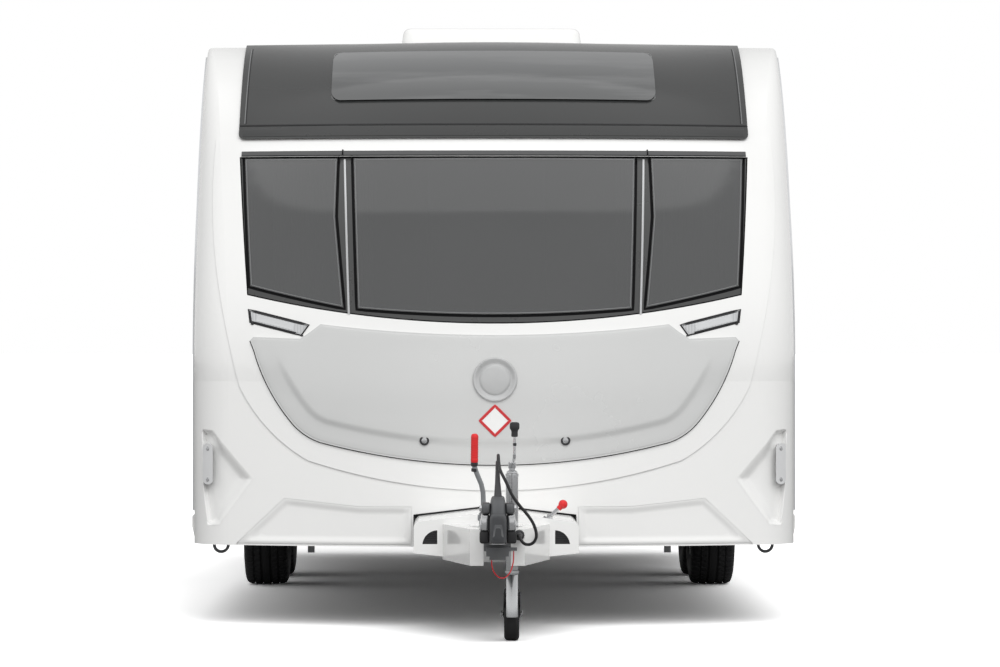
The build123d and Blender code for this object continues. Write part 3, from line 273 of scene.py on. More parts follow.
# one finish for each material slot: colour, roughness, vary, patches, grain, bump, depth
FINISH = {
    "gelcoat_white": plain(
        "gelcoat", (0.81, 0.81, 0.80), 0.24, 0.02, 1.2, 260, 0.02, 0.0004, coat=0.6,
        rough_vary=0.03),
    "wall_white": plain(
        "painted_sheet", (0.80, 0.80, 0.79), 0.30, 0.02, 1.5, 420, 0.03, 0.0004, coat=0.3,
        rough_vary=0.04),
    "lid_grey": plain(
        "lid_paint", (0.60, 0.605, 0.60), 0.26, 0.02, 1.4, 600, 0.02, 0.0003, metal=0.1, coat=0.7,
        rough_vary=0.03),
    "panel_dark": plain(
        "panel_dark", (0.036, 0.037, 0.037), 0.24, 0.06, 1.6, 240, 0.015, 0.0004, coat=0.15,
        spec=0.35, rough_vary=0.03),
    "frame_black": plain(
        "frame_black", (0.058, 0.059, 0.059), 0.3, 0.05, 6, 300, 0.02, 0.0004, coat=0.1),
    "rubber_black": plain(
        "rubber", (0.022, 0.022, 0.023), 0.62, 0.25, 14, 380, 0.12, 0.0006, spec=0.35),
    "trim_black": plain("trim_black", (0.028, 0.028, 0.030), 0.45, 0.15, 18, 520, 0.1, 0.0004),
    "trim_grey": plain(
        "trim_grey", (0.62, 0.625, 0.63), 0.34, 0.03, 8, 420, 0.05, 0.0004, coat=0.2),
    "rail_alloy": plain(
        "rail_alloy", (0.72, 0.73, 0.74), 0.32, 0.05, 5, 300, 0.05, 0.0003, metal=0.8),
    "plated_steel": plain(
        "plated_steel", (0.70, 0.71, 0.72), 0.20, 0.05, 9, 300, 0.02, 0.0002, metal=1.0,
        rough_vary=0.03),
    "coupling_dark": plain(
        "coupling_dark", (0.060, 0.062, 0.066), 0.38, 0.14, 26, 340, 0.10, 0.0006, metal=0.3,
        edge=(0.16, 0.165, 0.17)),
    "grip_red": plain(
        "grip_red", (0.70, 0.020, 0.022), 0.34, 0.08, 22, 460, 0.06, 0.0004, coat=0.2),
    "lamp_red": plain("lamp_red", (0.50, 0.012, 0.014), 0.12, 0.12, 9, 200, 0.03, 0.0006, coat=1.0),
    "cable_black": plain("cable_black", (0.020, 0.020, 0.021), 0.48, 0.15, 30, 700, 0.08, 0.0003),
    "cable_red": plain("cable_red", (0.62, 0.015, 0.02), 0.38, 0.1, 30, 900, 0.08, 0.0003),
    "tyre_rubber": plain(
        "tyre_rubber", (0.024, 0.024, 0.025), 0.66, 0.25, 9, 240, 0.15, 0.0008, spec=0.3),
    "wheel_alloy": plain(
        "wheel_silver", (0.58, 0.59, 0.60), 0.28, 0.05, 10, 800, 0.03, 0.0002, metal=0.85, coat=0.5,
        edge=(0.70, 0.71, 0.72)),
    "galvanised": galvanised_steel(),
    "furniture_wood": wood("furniture_wood", (0.46, 0.33, 0.22), (0.33, 0.22, 0.14)),
    "floor_board": wood("sealed_ply", (0.10, 0.095, 0.088), (0.06, 0.055, 0.05)),
    "cushion_fabric": fabric("upholstery", (0.50, 0.46, 0.41), (0.36, 0.33, 0.30), 1400),
    "curtain_fabric": fabric("curtain_cloth", (0.80, 0.785, 0.76), (0.66, 0.64, 0.61), 2200),
    "window_tint": smoked_glass("glass_side", (0.050, 0.051, 0.052), 0.90),
    "lamp_clear": lamp_lens(),
}
lamp_amber = plain(
    "lamp_amber", (0.75, 0.22, 0.015), 0.12, 0.12, 12, 200, 0.03, 0.0006, coat=1.0)
sign_white = plain("sign_white", (0.80, 0.80, 0.79), 0.3, 0.02, 20, 600, 0.02, 0.0003)
# painted highlight: a lighter grey for glint lines along the edges of panes and panels
painted_glint = shiny("painted_glint", (0.165, 0.168, 0.170), 0.35)
rail_grey = shiny("rail_grey", (0.070, 0.071, 0.072), 0.35)
# painted shade: a darker copy of the dark panel for the sunroof's lower lip
lip_painted_shade = shiny("lip_painted_shade", (0.032, 0.033, 0.033), 0.3)
lamp_bowl = shiny("lamp_bowl", (0.80, 0.81, 0.82), 0.2, metal=0.6)
lever_grey = shiny("lever_grey", (0.30, 0.31, 0.32), 0.42, metal=0.5)
seal_black = shiny("seal_black", (0.005, 0.005, 0.0055), 0.6, spec=0.12, vary=0.2)
badge_grey = shiny("badge_grey", (0.50, 0.505, 0.505), 0.3, metal=0.15, coat=0.4)
# painted shade: a darker copy of the galvanised steel for parts under the body
under_steel_painted_shade = shiny("under_steel_painted_shade", (0.16, 0.165, 0.17), 0.5, metal=0.5, vary=0.15)
sign_red = shiny("sign_red", (0.55, 0.03, 0.035), 0.35)

# CAD nodes whose finish isn't that of their slot
OWN_FINISH = {
    "front_windows": smoked_glass("glass_front", (0.085, 0.087, 0.088), 0.80),
    "skylight": acrylic_painted_sky(),
    "rooflight_lids": FINISH["gelcoat_white"],
    # parts under the body take the darker steel, a painted shade
    "steady_brackets": under_steel_painted_shade,
    "chassis_cross_members": under_steel_painted_shade,
    "overrun_device": under_steel_painted_shade,
}
slot_of = {part["node"]: part["material_slot"] for part in frame["record"]["subparts"]}
for node_name, node in NODES.items():
    for place in node.material_slots:
        place.material = OWN_FINISH.get(node_name, FINISH[slot_of[node_name]])


# ---------------------------------------------------------------- pieces
def dress(obj, body, slot, mat=None):
    """Gives a new piece its body and its finish, which is its slot's unless one is given."""
    obj.data.materials.clear()
    obj.data.materials.append(mat or FINISH[slot])
    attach(obj, body)
    return obj


def piece(name, verts, faces, body, slot, mat=None):
    mesh = bpy.data.meshes.new(name)
    mesh.from_pydata([tuple(v) for v in verts], [], faces)
    work = bmesh.new()
    work.from_mesh(mesh)
    bmesh.ops.recalc_face_normals(work, faces=work.faces)
    work.to_mesh(mesh)
    work.free()
    for polygon in mesh.polygons:
        polygon.use_smooth = True
    mesh.update()
    obj = add_object(name, mesh)
    mesh.set_sharp_from_angle(angle=math.radians(SHARP_DEGREES))
    return dress(obj, body, slot, mat)


def circle(centre, side, up, radius, steps):
    """Points round a centre in metres, in the plane of two directions; radius in mm."""
    turns = [TURN * s / steps for s in range(steps)]
    return [centre + (side * math.cos(a) + up * math.sin(a)) * (radius / 1000) for a in turns]


def point(place):
    """A Vector is in metres already; a plain triple is in working mm."""
    return place.copy() if isinstance(place, Vector) else at(*place)


class Build:
    """Collects vertices and faces of one joined piece."""

    def __init__(self):
        self.verts = []
        self.faces = []

    def grid(self, rows, closed=False, caps=False):
        """A skin over rows of points; closed joins each row's ends."""
        base = len(self.verts)
        count = len(rows[0])
        for row in rows:
            self.verts += [Vector(p) for p in row]
        span = count if closed else count - 1
        for r in range(len(rows) - 1):
            for c in range(span):
                d = (c + 1) % count
                one, two = base + r * count, base + (r + 1) * count
                self.faces.append((one + c, one + d, two + d, two + c))
        if caps:
            last = base + (len(rows) - 1) * count
            self.faces.append(tuple(range(base, base + count)))
            self.faces.append(tuple(range(last, last + count)))

    def ring(self, centre, axis, radii, steps=24, caps=True):
        """A turned shape: radii is a list of (distance along axis, radius) in mm."""
        axis = Vector(axis).normalized()
        side = axis.orthogonal().normalized()
        up = axis.cross(side)
        rows = [
            circle(point(centre) + axis * (along / 1000), side, up, radius, steps)
            for along, radius in radii
        ]
        self.grid(rows, closed=True, caps=caps)

    def tube(self, points, radius, steps=8, closed=False):
        """A bent rod through points; radius in mm, or a function of the share along."""
        points = [point(p) for p in points]
        rows = []
        count = len(points)
        normal = None
        for i, here in enumerate(points):
            if closed:
                ahead = points[(i + 1) % count] - points[i - 1]
            else:
                ahead = points[min(i + 1, count - 1)] - points[max(i - 1, 0)]
            ahead.normalize()
            if normal is None:
                normal = ahead.orthogonal().normalized()
            normal = (normal - ahead * normal.dot(ahead)).normalized()
            size = radius(i / (count - 1)) if callable(radius) else radius
            rows.append(circle(here, normal, ahead.cross(normal), size, steps))
        if closed:
            rows.append(rows[0])
        self.grid(rows, closed=True, caps=not closed)

    def box(self, low, high, bevel=0.0):
        lo, hi = point(low), point(high)
        b = bevel / 1000
        rows = []
        for z, inset in ((lo.z, b), (lo.z + b, 0), (hi.z - b, 0), (hi.z, b)):
            row = []
            for sx, sy in ((-1, -1), (1, -1), (1, 1), (-1, 1)):
                x = (hi.x - inset) if sx > 0 else (lo.x + inset)
                y = (hi.y - inset) if sy > 0 else (lo.y + inset)
                if b:
                    row.append((x - sx * b, y, z) if (sx == sy) else (x, y - sy * b, z))
                    row.append((x, y - sy * b, z) if (sx == sy) else (x - sx * b, y, z))
                else:
                    row.append((x, y, z))
            rows.append(row)
        self.grid(rows, closed=True, caps=True)

    def make(self, name, body, slot, mat=None, instead_of=None):
        obj = piece(name, self.verts, self.faces, body, slot, mat)
        if instead_of:
            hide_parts(instead_of)
        return obj


def tree_of(*names):
    """A ray-casting tree over the skins of some CAD nodes."""
    verts = []
    faces = []
    for name in names:
        mesh = NODES[name].data
        base = len(verts)
        verts += [v.co.copy() for v in mesh.vertices]
        faces += [tuple(base + i for i in p.vertices) for p in mesh.polygons]
    return BVHTree.FromPolygons(verts, faces)


trees = {}
FRONT_DEEPEST = -0.6        # a hit behind this row Y went through an opening of the front
FRONT_NEAREST = -2.3        # where the nearest skin is sought from if no ray hits


def on_front(x, z, lift, *names):
    """The point of the front's skin at X and Z in mm, lifted off it in mm, and its normal."""
    if names not in trees:
        trees[names] = tree_of(*names)
    start = Vector((x / 1000, -6.0, z / 1000))
    inwards = Vector((-x / 1000, 0, 1.5 - z / 1000)).normalized() * 0.002
    tree = trees[names]
    for tries in range(20):
        hit, normal, _, _ = tree.ray_cast(start + inwards * tries, Vector(BACKWARDS))
        if hit is None:
            hit, normal, _, _ = tree.ray_cast(start - inwards * tries, Vector(BACKWARDS))
        if hit is not None and hit.y < FRONT_DEEPEST:
            break
    if hit is None:
        hit, normal, _, _ = tree.find_nearest(Vector((start.x, FRONT_NEAREST, start.z)))
    hit = Vector((start.x, hit.y, start.z))
    if normal.y > 0:
        normal = -normal
    return hit + normal * (lift / 1000), normal


def front_strip(build, line, names, width, low, high, cells=1):
    """A flat strip that follows a line on the front: width across, from lift low to high, in mm."""
    rows = []
    for i, (x, z) in enumerate(line):
        before = line[max(i - 1, 0)]
        after = line[min(i + 1, len(line) - 1)]
        if line[0] == line[-1] and i in (0, len(line) - 1):
            before, after = line[-2], line[1]
        dx, dz = after[0] - before[0], after[1] - before[1]
        size = math.hypot(dx, dz)
        nx, nz = -dz / size * width / 2, dx / size * width / 2
        shares = [1 - 2 * k / cells for k in range(cells + 1)]
        cast = [on_front(x + nx * k, z + nz * k, 0, *names) for k in shares]
        n = sum((c[1] for c in cast), Vector()).normalized()
        a, b = cast[0][0], cast[-1][0]
        tops = [a.lerp(b, 0.12), *(c[0] for c in cast[1:-1]), a.lerp(b, 0.88)]
        foot, shoulder, top = (n * (lift / 1000) for lift in (low, high - 0.4, high))
        rows.append([a + foot, a + shoulder, *(p + top for p in tops), b + shoulder, b + foot])
    build.grid(rows, closed=True, caps=line[0] != line[-1])


def arc(start, middle, end, count):
    """Points of the circle through three points, the first one left out."""
    ax, az = start
    bx, bz = middle
    cx, cz = end
    d = 2 * (ax * (bz - cz) + bx * (cz - az) + cx * (az - bz))
    aa, bb, cc = ax**2 + az**2, bx**2 + bz**2, cx**2 + cz**2
    ux = (aa * (bz - cz) + bb * (cz - az) + cc * (az - bz)) / d
    uz = (aa * (cx - bx) + bb * (ax - cx) + cc * (bx - ax)) / d
    radius = math.hypot(ax - ux, az - uz)
    a0 = math.atan2(az - uz, ax - ux)
    a1 = math.atan2(bz - uz, bx - ux)
    a2 = math.atan2(cz - uz, cx - ux)
    one = (a1 - a0) % TURN
    two = (a2 - a0) % TURN
    if one > two:
        two -= TURN
    turns = [a0 + two * i / count for i in range(1, count + 1)]
    return [(ux + radius * math.cos(a), uz + radius * math.sin(a)) for a in turns]


def across(x, z, middle):
    """A bowed line over the front from -x to x: z at its ends and at its middle."""
    return [(-x, z)] + arc((-x, z), (0, middle), (x, z), 60)


def path_of(start, *steps, spacing=25.0):
    """A closed line of points from straight and arc steps."""
    line = [start]
    for step in (*steps, start):
        here = line[-1]
        if isinstance(step[0], tuple):
            size = math.dist(here, step[0]) + math.dist(step[0], step[1])
            line += arc(here, step[0], step[1], max(6, int(size / spacing)))
        else:
            size = math.dist(here, step)
            count = max(1, int(size / spacing))
            for i in range(1, count + 1):
                t = i / count
                line.append((here[0] + (step[0] - here[0]) * t, here[1] + (step[1] - here[1]) * t))
    line[-1] = start
    return line


def mirrored(line):
    return [(-x, z) for x, z in line]


def on_side(line, side):
    """A line of the nearside, or its mirror image on the offside."""
    return line if side > 0 else mirrored(line)


def side_box(build, side, x, y, z, bevel):
    """A box whose X range is given for the nearside."""
    x0, x1 = sorted((side * x[0], side * x[1]))
    build.box((x0, y[0], z[0]), (x1, y[1], z[1]), bevel)


def inset(line, amount):
    """A closed line moved inwards by an amount in mm, or outwards if it is negative."""
    points = line[:-1] if line[0] == line[-1] else list(line)
    count = len(points)
    pairs = zip(points, points[1:] + points[:1])
    turn = sum(ax * bz - bx * az for (ax, az), (bx, bz) in pairs)
    sign = 1 if turn > 0 else -1
    moved = []
    for i, (x, z) in enumerate(points):
        before, after = points[i - 1], points[(i + 1) % count]
        one = Vector((x - before[0], z - before[1])).normalized()
        two = Vector((after[0] - x, after[1] - z)).normalized()
        n1 = Vector((-one.y, one.x)) * sign
        n2 = Vector((-two.y, two.x)) * sign
        n = n1 + n2
        n = n.normalized() if n.length > 0.05 else n1
        grow = min(1 / max(n.dot(n1), 0.3), 2.0)
        moved.append((x + n.x * amount * grow, z + n.y * amount * grow))
    return moved + [moved[0]]


def distance_to(x, z, line):
    best = 1e9
    for (ax, az), (bx, bz) in zip(line, line[1:]):
        dx, dz = bx - ax, bz - az
        size = dx * dx + dz * dz
        t = max(0.0, min(1.0, ((x - ax) * dx + (z - az) * dz) / size)) if size else 0.0
        best = min(best, math.hypot(x - ax - dx * t, z - az - dz * t))
    return best


def smooth_step(value, low, high):
    t = max(0.0, min(1.0, (value - low) / (high - low)))
    return t * t * (3 - 2 * t)


def points_in(line, reach, spacing, start):
    """A square net of points inside a closed line, at least reach from it."""
    low_x, high_x = min(p[0] for p in line), max(p[0] for p in line)
    low_z, high_z = min(p[1] for p in line), max(p[1] for p in line)
    points = []
    x = low_x + start
    while x < high_x:
        z = low_z + start
        while z < high_z:
            if inside(x, z, line) and distance_to(x, z, line) > reach:
                points.append((x, z))
            z += spacing
        x += spacing
    return points


def front_skin(name, line, surface, body, slot, rings, spacing):
    """A skin over an area of the front; surface(x, z, distance from its edge) is its working Y."""
    base = line[:-1]
    points = list(base)
    edges = [(i, (i + 1) % len(base)) for i in range(len(base))]
    for depth in rings:
        for x, z in inset(line, depth)[:-1]:
            if inside(x, z, line) and distance_to(x, z, line) > depth * 0.93:
                points.append((x, z))
    points += points_in(line, max(rings) + spacing * 0.45, spacing, spacing / 2)
    flat, _, faces, _, _, _ = delaunay_2d_cdt([Vector(p) for p in points], edges, [], 1, 0.01)
    verts = [at(p.x, surface(p.x, p.y, distance_to(p.x, p.y, line)), p.y) for p in flat]
    return piece(name, verts, [tuple(f) for f in faces], body, slot)


def depth_at(x, z, names):
    """Working Y in mm of the front's skin at X and Z."""
    return on_front(x, z, 0, *names)[0].y * 1000 + MIDDLE_Y


def smooth_fit(names, line, reach, spacing):
    """A smooth even surface y(x, z) fitted over the skin of a node within a line."""
    high_x = max(p[0] for p in line)
    low_z, high_z = min(p[1] for p in line), max(p[1] for p in line)
    terms = [(i, j) for i in range(0, 9, 2) for j in range(7)]
    mid = (low_z + high_z) / 2

    def basis(x, z):
        u, v = x / high_x, (z - mid) / (high_z - mid)
        return [u**i * v**j for i, j in terms]

    spots = points_in(line, reach, spacing, 4)
    weights = numpy.linalg.lstsq(
        numpy.array([basis(x, z) for x, z in spots]),
        numpy.array([depth_at(x, z, names) for x, z in spots]), rcond=None,
    )[0]
    return lambda x, z: float(numpy.dot(weights, basis(x, z)))


def crossings(line, z):
    """The X values at which a closed line crosses a height, in order."""
    found = []
    for (ax, az), (bx, bz) in zip(line, line[1:]):
        if (az > z) != (bz > z):
            found.append(ax + (bx - ax) * (z - az) / (bz - az))
    return sorted(found)


def inside(x, z, line):
    hit = False
    for (ax, az), (bx, bz) in zip(line, line[1:]):
        if (az > z) != (bz > z) and x < (bx - ax) * (z - az) / (bz - az) + ax:
            hit = not hit
    return hit


def rounded_line(low, high, radius, steps=8):
    """A closed rounded rectangle in a plane."""
    line = []
    for cx, cz, start in (
        (high[0] - radius, low[1] + radius, -90), (high[0] - radius, high[1] - radius, 0),
        (low[0] + radius, high[1] - radius, 90), (low[0] + radius, low[1] + radius, 180),
    ):
        for s in range(steps + 1):
            turn = math.radians(start + 90 * s / steps)
            line.append((cx + radius * math.cos(turn), cz + radius * math.sin(turn)))
    return line + [line[0]]


def flat_strip(build, line, normal, width, low, high):
    """A strip that follows closed 3-D points in mm on a flat face with that normal."""
    normal = Vector(normal).normalized()
    profile = ((1, low), (1, high - 0.8), (0.7, high), (-0.7, high), (-1, high - 0.8), (-1, low))
    points = [Vector(p) for p in line[:-1]]
    count = len(points)
    rows = []
    for i, here in enumerate(points):
        ahead = (points[(i + 1) % count] - points[i - 1]).normalized()
        side = normal.cross(ahead) * (width / 2)
        rows.append([at(*(here + side * a + normal * h)) for a, h in profile])
    rows.append(rows[0])
    build.grid(rows, closed=True)


# ---------------------------------------------------------------- the front: window, lamps, lid
FRAME = ("front_window_frame", "front_windows", "front_shell")
SHELL = ("front_shell",)
centre_line = path_of((-570, 1881), (570, 1881), (546, 1270), ((0, 1245), (-546, 1270)))
side_line = path_of((633, 1882), (1018, 1887), (980, 1360), ((790, 1313), (601, 1273)), (637, 1640))
frame_line = path_of(
    (-1039, 1892), ((0, 1885), (1039, 1892)), (991, 1325), ((0, 1210), (-991, 1325)),
)
lamp_line = path_of((980, 1263), (745, 1204), (772, 1167), (974, 1218))
lid_line = path_of(
    (-693, 1208), ((0, 1165), (693, 1208)), (734, 1177), (775, 1150), (964, 1157), (976, 1143),
    (960, 1103), ((899, 951), (815, 825)), ((765, 776), (693, 739)), ((0, 651), (-693, 739)),
    ((-765, 776), (-815, 825)), ((-899, 951), (-960, 1103)), (-976, 1143), (-964, 1157),
    (-775, 1150), (-734, 1177),
)
pod_line = path_of(
    (1177, 787), (1131, 785), (1090, 739), (962, 592), (1102, 404), (1153, 402), (1173, 569),
    spacing=18,
)
panes = (centre_line, side_line, mirrored(side_line))

seals = Build()
for pane in panes:
    front_strip(seals, inset(pane, -4), FRAME, 11, -1.5, 1.4, 2)
seals.make("front_window_seals", "body", "rubber_black", seal_black)

# painted glint: a lighter line just inside the edge of each front pane
pane_glint = Build()
for pane in panes:
    front_strip(pane_glint, inset(pane, 7), ("front_windows",), 3.4, -0.5, 0.7)
pane_glint.make("front_pane_painted_glints", "body", "trim_grey", painted_glint)

strips = Build()
for side in (1, -1):
    line = [(side * (604 - 24 * t / 12), 1874 - 627 * t / 12) for t in range(13)]
    front_strip(strips, line, FRAME, 8, -2.0, 3.4, 2)
strips.make("window_pillar_strips", "body", "rail_alloy")

rail = Build()
front_strip(rail, across(1030, 1901.5, 1895), FRAME, 24, -1.5, 3.2, 4)
rail.make("window_top_rail", "body", "panel_dark", rail_grey)
joint = Build()
front_strip(joint, across(1030, 1891, 1884.4), FRAME, 11, -1.0, 3.6, 3)
for x in (-612, 620):
    front_strip(joint, [(x, 1890), (x, 1902), (x, 1913)], FRAME, 5, 0.2, 6.2)
front_strip(joint, inset(frame_line, 2), ("front_window_frame",), 6, -1.0, 1.6, 2)
joint.make("window_top_joint", "body", "rubber_black", seal_black)

SUNROOF = ("sunroof_panel",)
# the sunroof's lower lip is painted darker than its panel: painted shade under its step
lip = Build()
front_strip(lip, across(1030, 1999, 1992), SUNROOF, 42, -0.5, 1.6, 5)
lip.make("sunroof_lower_lip_painted_shade", "body", "panel_dark", lip_painted_shade)
# a dark line along the sunroof's fold and beside its side edges: painted shade in the crease
crease = Build()
front_strip(crease, across(1044, 2026, 2018.5), SUNROOF, 6, -0.5, 1.8, 2)
# painted glint along the raised border at each side edge of the sunroof panel
edge = Build()
for side in (1, -1):
    line = [(side * (1024 - 3 * t / 20), 2034 + 17.2 * t) for t in range(21)]
    front_strip(edge, line, SUNROOF, 4, -0.4, 1.2)
    front_strip(crease, [(x - side * 5, z) for x, z in line], SUNROOF, 4, -0.4, 0.9)
edge.make("sunroof_edge_painted_glints", "body", "panel_dark", painted_glint)
crease.make("sunroof_crease_painted_shade", "body", "rubber_black")

# painted glint round the edge of the skylight
glint = Build()
line = rounded_line((-664, 2131), (664, 2346), 14, 6)
front_strip(glint, line, ("skylight", "sunroof_panel"), 4, -0.4, 1.2, 2)
glint.make("skylight_edge_painted_glint", "body", "trim_grey", painted_glint)

# dark strips in the gaps along the lid's lower edge and round the lamps: painted shade in the gaps
gap = Build()
lid_low = [p for p in lid_line if p[1] < 1148]
start = max(range(len(lid_low) - 1), key=lambda i: math.dist(lid_low[i], lid_low[i + 1]))
if math.dist(lid_low[start], lid_low[start + 1]) > 60:
    lid_low = lid_low[start + 1:] + lid_low[:start + 1]
lid_gap = [(x * (1 + 1.6 / 976), z - 1.6) for x, z in lid_low]
front_strip(gap, lid_gap, SHELL, 4.4, -1.0, 0.7)
for side in (1, -1):
    front_strip(gap, inset(on_side(lamp_line, side), -3), SHELL, 7, -1.0, 2.6)
gap.make("front_panel_gap_shade", "body", "rubber_black")

lid_shape = smooth_fit(("locker_lid",), lid_line, 12, 30)


def lid_surface(x, z, away):
    low_edge = distance_to(x, z, lid_low)
    rise = 9.0 * smooth_step(low_edge, 70, 100) * (1 - smooth_step(z, 930, 1130))
    return lid_shape(x, z) - 1.7 - rise + 3.4 * (1 - smooth_step(away, 0, 8))


LID_STEPS = (3, 6, 10, 30, 60, 68, 73, 79, 85, 91, 97, 103, 120)
front_skin(
    "locker_lid_skin", inset(lid_line, 1.5), lid_surface, "locker_lid", "lid_grey", LID_STEPS, 45,
)

POD_RINGS = (1.5, 4, 8, 13, 18, 25, 33, 41, 49)
POD_LOW, POD_HIGH = 404, 785
pod_ends = {}


def wall_over_pod(x, z):
    """The body's skin as it would run on over a pod, at X > 0 and Z, bridged along X."""
    key = round(z, 1)
    if key not in pod_ends:
        found = crossings(pod_line, min(max(z, POD_LOW), POD_HIGH))
        x0, x1 = found[0] - 4, found[-1] + 4
        y0, y1 = depth_at(x0, z, SHELL), depth_at(x1, z, SHELL)
        s0 = (y0 - depth_at(x0 - 26, z, SHELL)) / 26
        s1 = (depth_at(x1 + 9, z, SHELL) - y1) / 9
        pod_ends[key] = (x0, x1, y0, y1, s0, s1)
    x0, x1, y0, y1, s0, s1 = pod_ends[key]
    span = x1 - x0
    t = max(0.0, min(1.0, (x - x0) / span))
    return (
        (2 * t**3 - 3 * t**2 + 1) * y0 + (t**3 - 2 * t**2 + t) * span * s0
        + (3 * t**2 - 2 * t**3) * y1 + (t**3 - t**2) * span * s1
    )


def pod_surface(x, z, away):
    over = wall_over_pod(abs(x), z)
    bevel = 20 + 26 * smooth_step(1125 - abs(x), 0, 40)
    share = smooth_step(away, 1.2, bevel)
    deep = depth_at(x, z, SHELL) - 1.0 if share > 0.02 else over
    return over - 0.5 * (1 - share) + (max(deep, over) - over) * share


for side, name in SIDES:
    line = on_side(pod_line, side)
    front_skin(
        f"corner_pod_liner_{name}", inset(line, -0.8), pod_surface, "body", "gelcoat_white",
        POD_RINGS, 24,
    )

valance = path_of((331, 484), (540, 484), (838, 515), (1032, 333), (331, 333), spacing=30)
for side, name in SIDES:
    line = on_side(valance, side)

    def step_surface(x, z, away):
        here, normal = on_front(x, z, 0, *SHELL)
        rise = 0.6 + 8.2 * (1 - smooth_step(away, 1, 30)) * smooth_step(z, 325, 350)
        return here.y * 1000 + MIDDLE_Y - rise / max(-normal.y, 0.4)

    front_skin(
        f"valance_relief_{name}", inset(line, 0.8), step_surface, "body", "gelcoat_white",
        (4, 9, 15, 21, 28, 34), 40,
    )

# lamps: a clear lens in a chrome bowl with a dark edge and two feet
feet = Build()
glow = Build()
for side in (1, -1):
    line = on_side(lamp_line, side)
    front_strip(feet, inset(line, 2.2), ("front_marker_lamps",), 5, -1.0, 1.0)
    for x, z in ((768, 1165), (968, 1211)):
        foot = [(side * (x - 5), z - 3), (side * x, z - 3), (side * (x + 5), z - 2)]
        front_strip(feet, foot, SHELL, 5, 0, 4)
    bulb = [(side * (800 + 30 * t), 1197 + 7.4 * t) for t in range(6)]
    front_strip(glow, bulb, ("front_marker_lamps",), 26, -1.0, 1.6)
feet.make("marker_lamp_outlines", "body", "trim_black")
glow.make("marker_lamp_bowls", "body", "lamp_clear", lamp_bowl)


# fittings of the lid
def front_turned(build, cx, cz, profile, names, steps=48):
    """A turned shape that stands on the front: profile is (radius, lift) in mm."""
    middle, normal = on_front(cx, cz, 0, *names)
    side = Vector((1, 0, 0))
    side = (side - normal * side.dot(normal)).normalized()
    up = normal.cross(side)
    rows = [
        circle(middle + normal * (lift / 1000), side, up, radius, steps) for radius, lift in profile
    ]
    build.grid(rows, closed=True, caps=True)


LID = ("locker_lid",)
BADGE = (
    (88, -2), (88, 15.0), (86.5, 18.5), (83, 20.5), (79, 20.0), (75, 17.0), (71, 13.5), (67, 11.6),
    (63, 11.4), (60, 13.6), (57, 16.6), (53, 18.0), (40, 19.2), (24, 20.2), (10, 20.6), (2, 20.7),
)
BADGE_Z = 989
badge = Build()
front_turned(badge, 0, BADGE_Z, BADGE, LID, 64)
badge.make("lid_badge", "locker_lid", "lid_grey", badge_grey, instead_of="lid_fittings")

SIGN_Z = 826
border = Build()
field = Build()


def diamond(build, half, low, high, hollow=None):
    """A plate of the warning sign, or its border if hollow gives a width."""
    corners = [(0, SIGN_Z - half), (half, SIGN_Z), (0, SIGN_Z + half), (-half, SIGN_Z)]
    line = path_of(*corners, spacing=12)
    if hollow:
        front_strip(build, inset(line, hollow / 2), LID, hollow, low, high)
        return
    base = [on_front(x, z, 0, *LID) for x, z in line[:-1]]
    middle, normal = on_front(0, SIGN_Z, 0, *LID)
    rows = [[here + n * (lift / 1000) for here, n in base] for lift in (low, high)]
    rows += [
        [middle.lerp(here, share) + n * (high / 1000) for here, n in base] for share in (0.5, 0.02)
    ]
    build.grid(rows, closed=True, caps=True)


diamond(field, 61, 2.0, 12.0)
diamond(border, 67, 2.0, 13.4, hollow=11)
field.make("lid_sign_field", "locker_lid", "trim_grey", sign_white)
border.make("lid_sign_border", "locker_lid", "lamp_red", sign_red)

LOCK_RING = ((19, 2), (19, 8), (17.5, 9.5), (14, 9.8), (13, 8.6), (11, 8.2))
LOCK_BARREL = ((11.5, 7), (11.5, 9.6), (10.5, 10.6), (4, 11.0), (3.8, 10.2), (0.8, 10.2))
LOCK_X, LOCK_Z = 279, 747
cups = Build()
barrels = Build()
for side in (1, -1):
    front_turned(cups, side * LOCK_X, LOCK_Z, LOCK_RING, LID, 32)
    front_turned(barrels, side * LOCK_X, LOCK_Z, LOCK_BARREL, LID, 28)
cups.make("lid_lock_rings", "locker_lid", "trim_black")
barrels.make("lid_lock_barrels", "locker_lid", "plated_steel")

# screws of the grab handles in the pods
HANDLE = ("front_grab_handles",)
SCREW_HEAD = ((9, -2), (9, 0.8), (7.5, 1.6), (5, 1.7), (4.6, 0.9), (0.6, 0.9))
HANDLE_X = 1150
screws = Build()
for side in (1, -1):
    for z in (586, 710):
        front_turned(screws, side * HANDLE_X, z, SCREW_HEAD, HANDLE, 20)
screws.make("grab_handle_screws", "body", "plated_steel")

# ---------------------------------------------------------------- draw gear
def loft(build, sections, steps, place):
    """A closed skin through sections: place(section, turn) is one point of a section."""
    turns = [TURN * s / steps for s in range(steps)]
    rows = [[place(section, turn) for turn in turns] for section in sections]
    build.grid(rows, closed=True, caps=True)


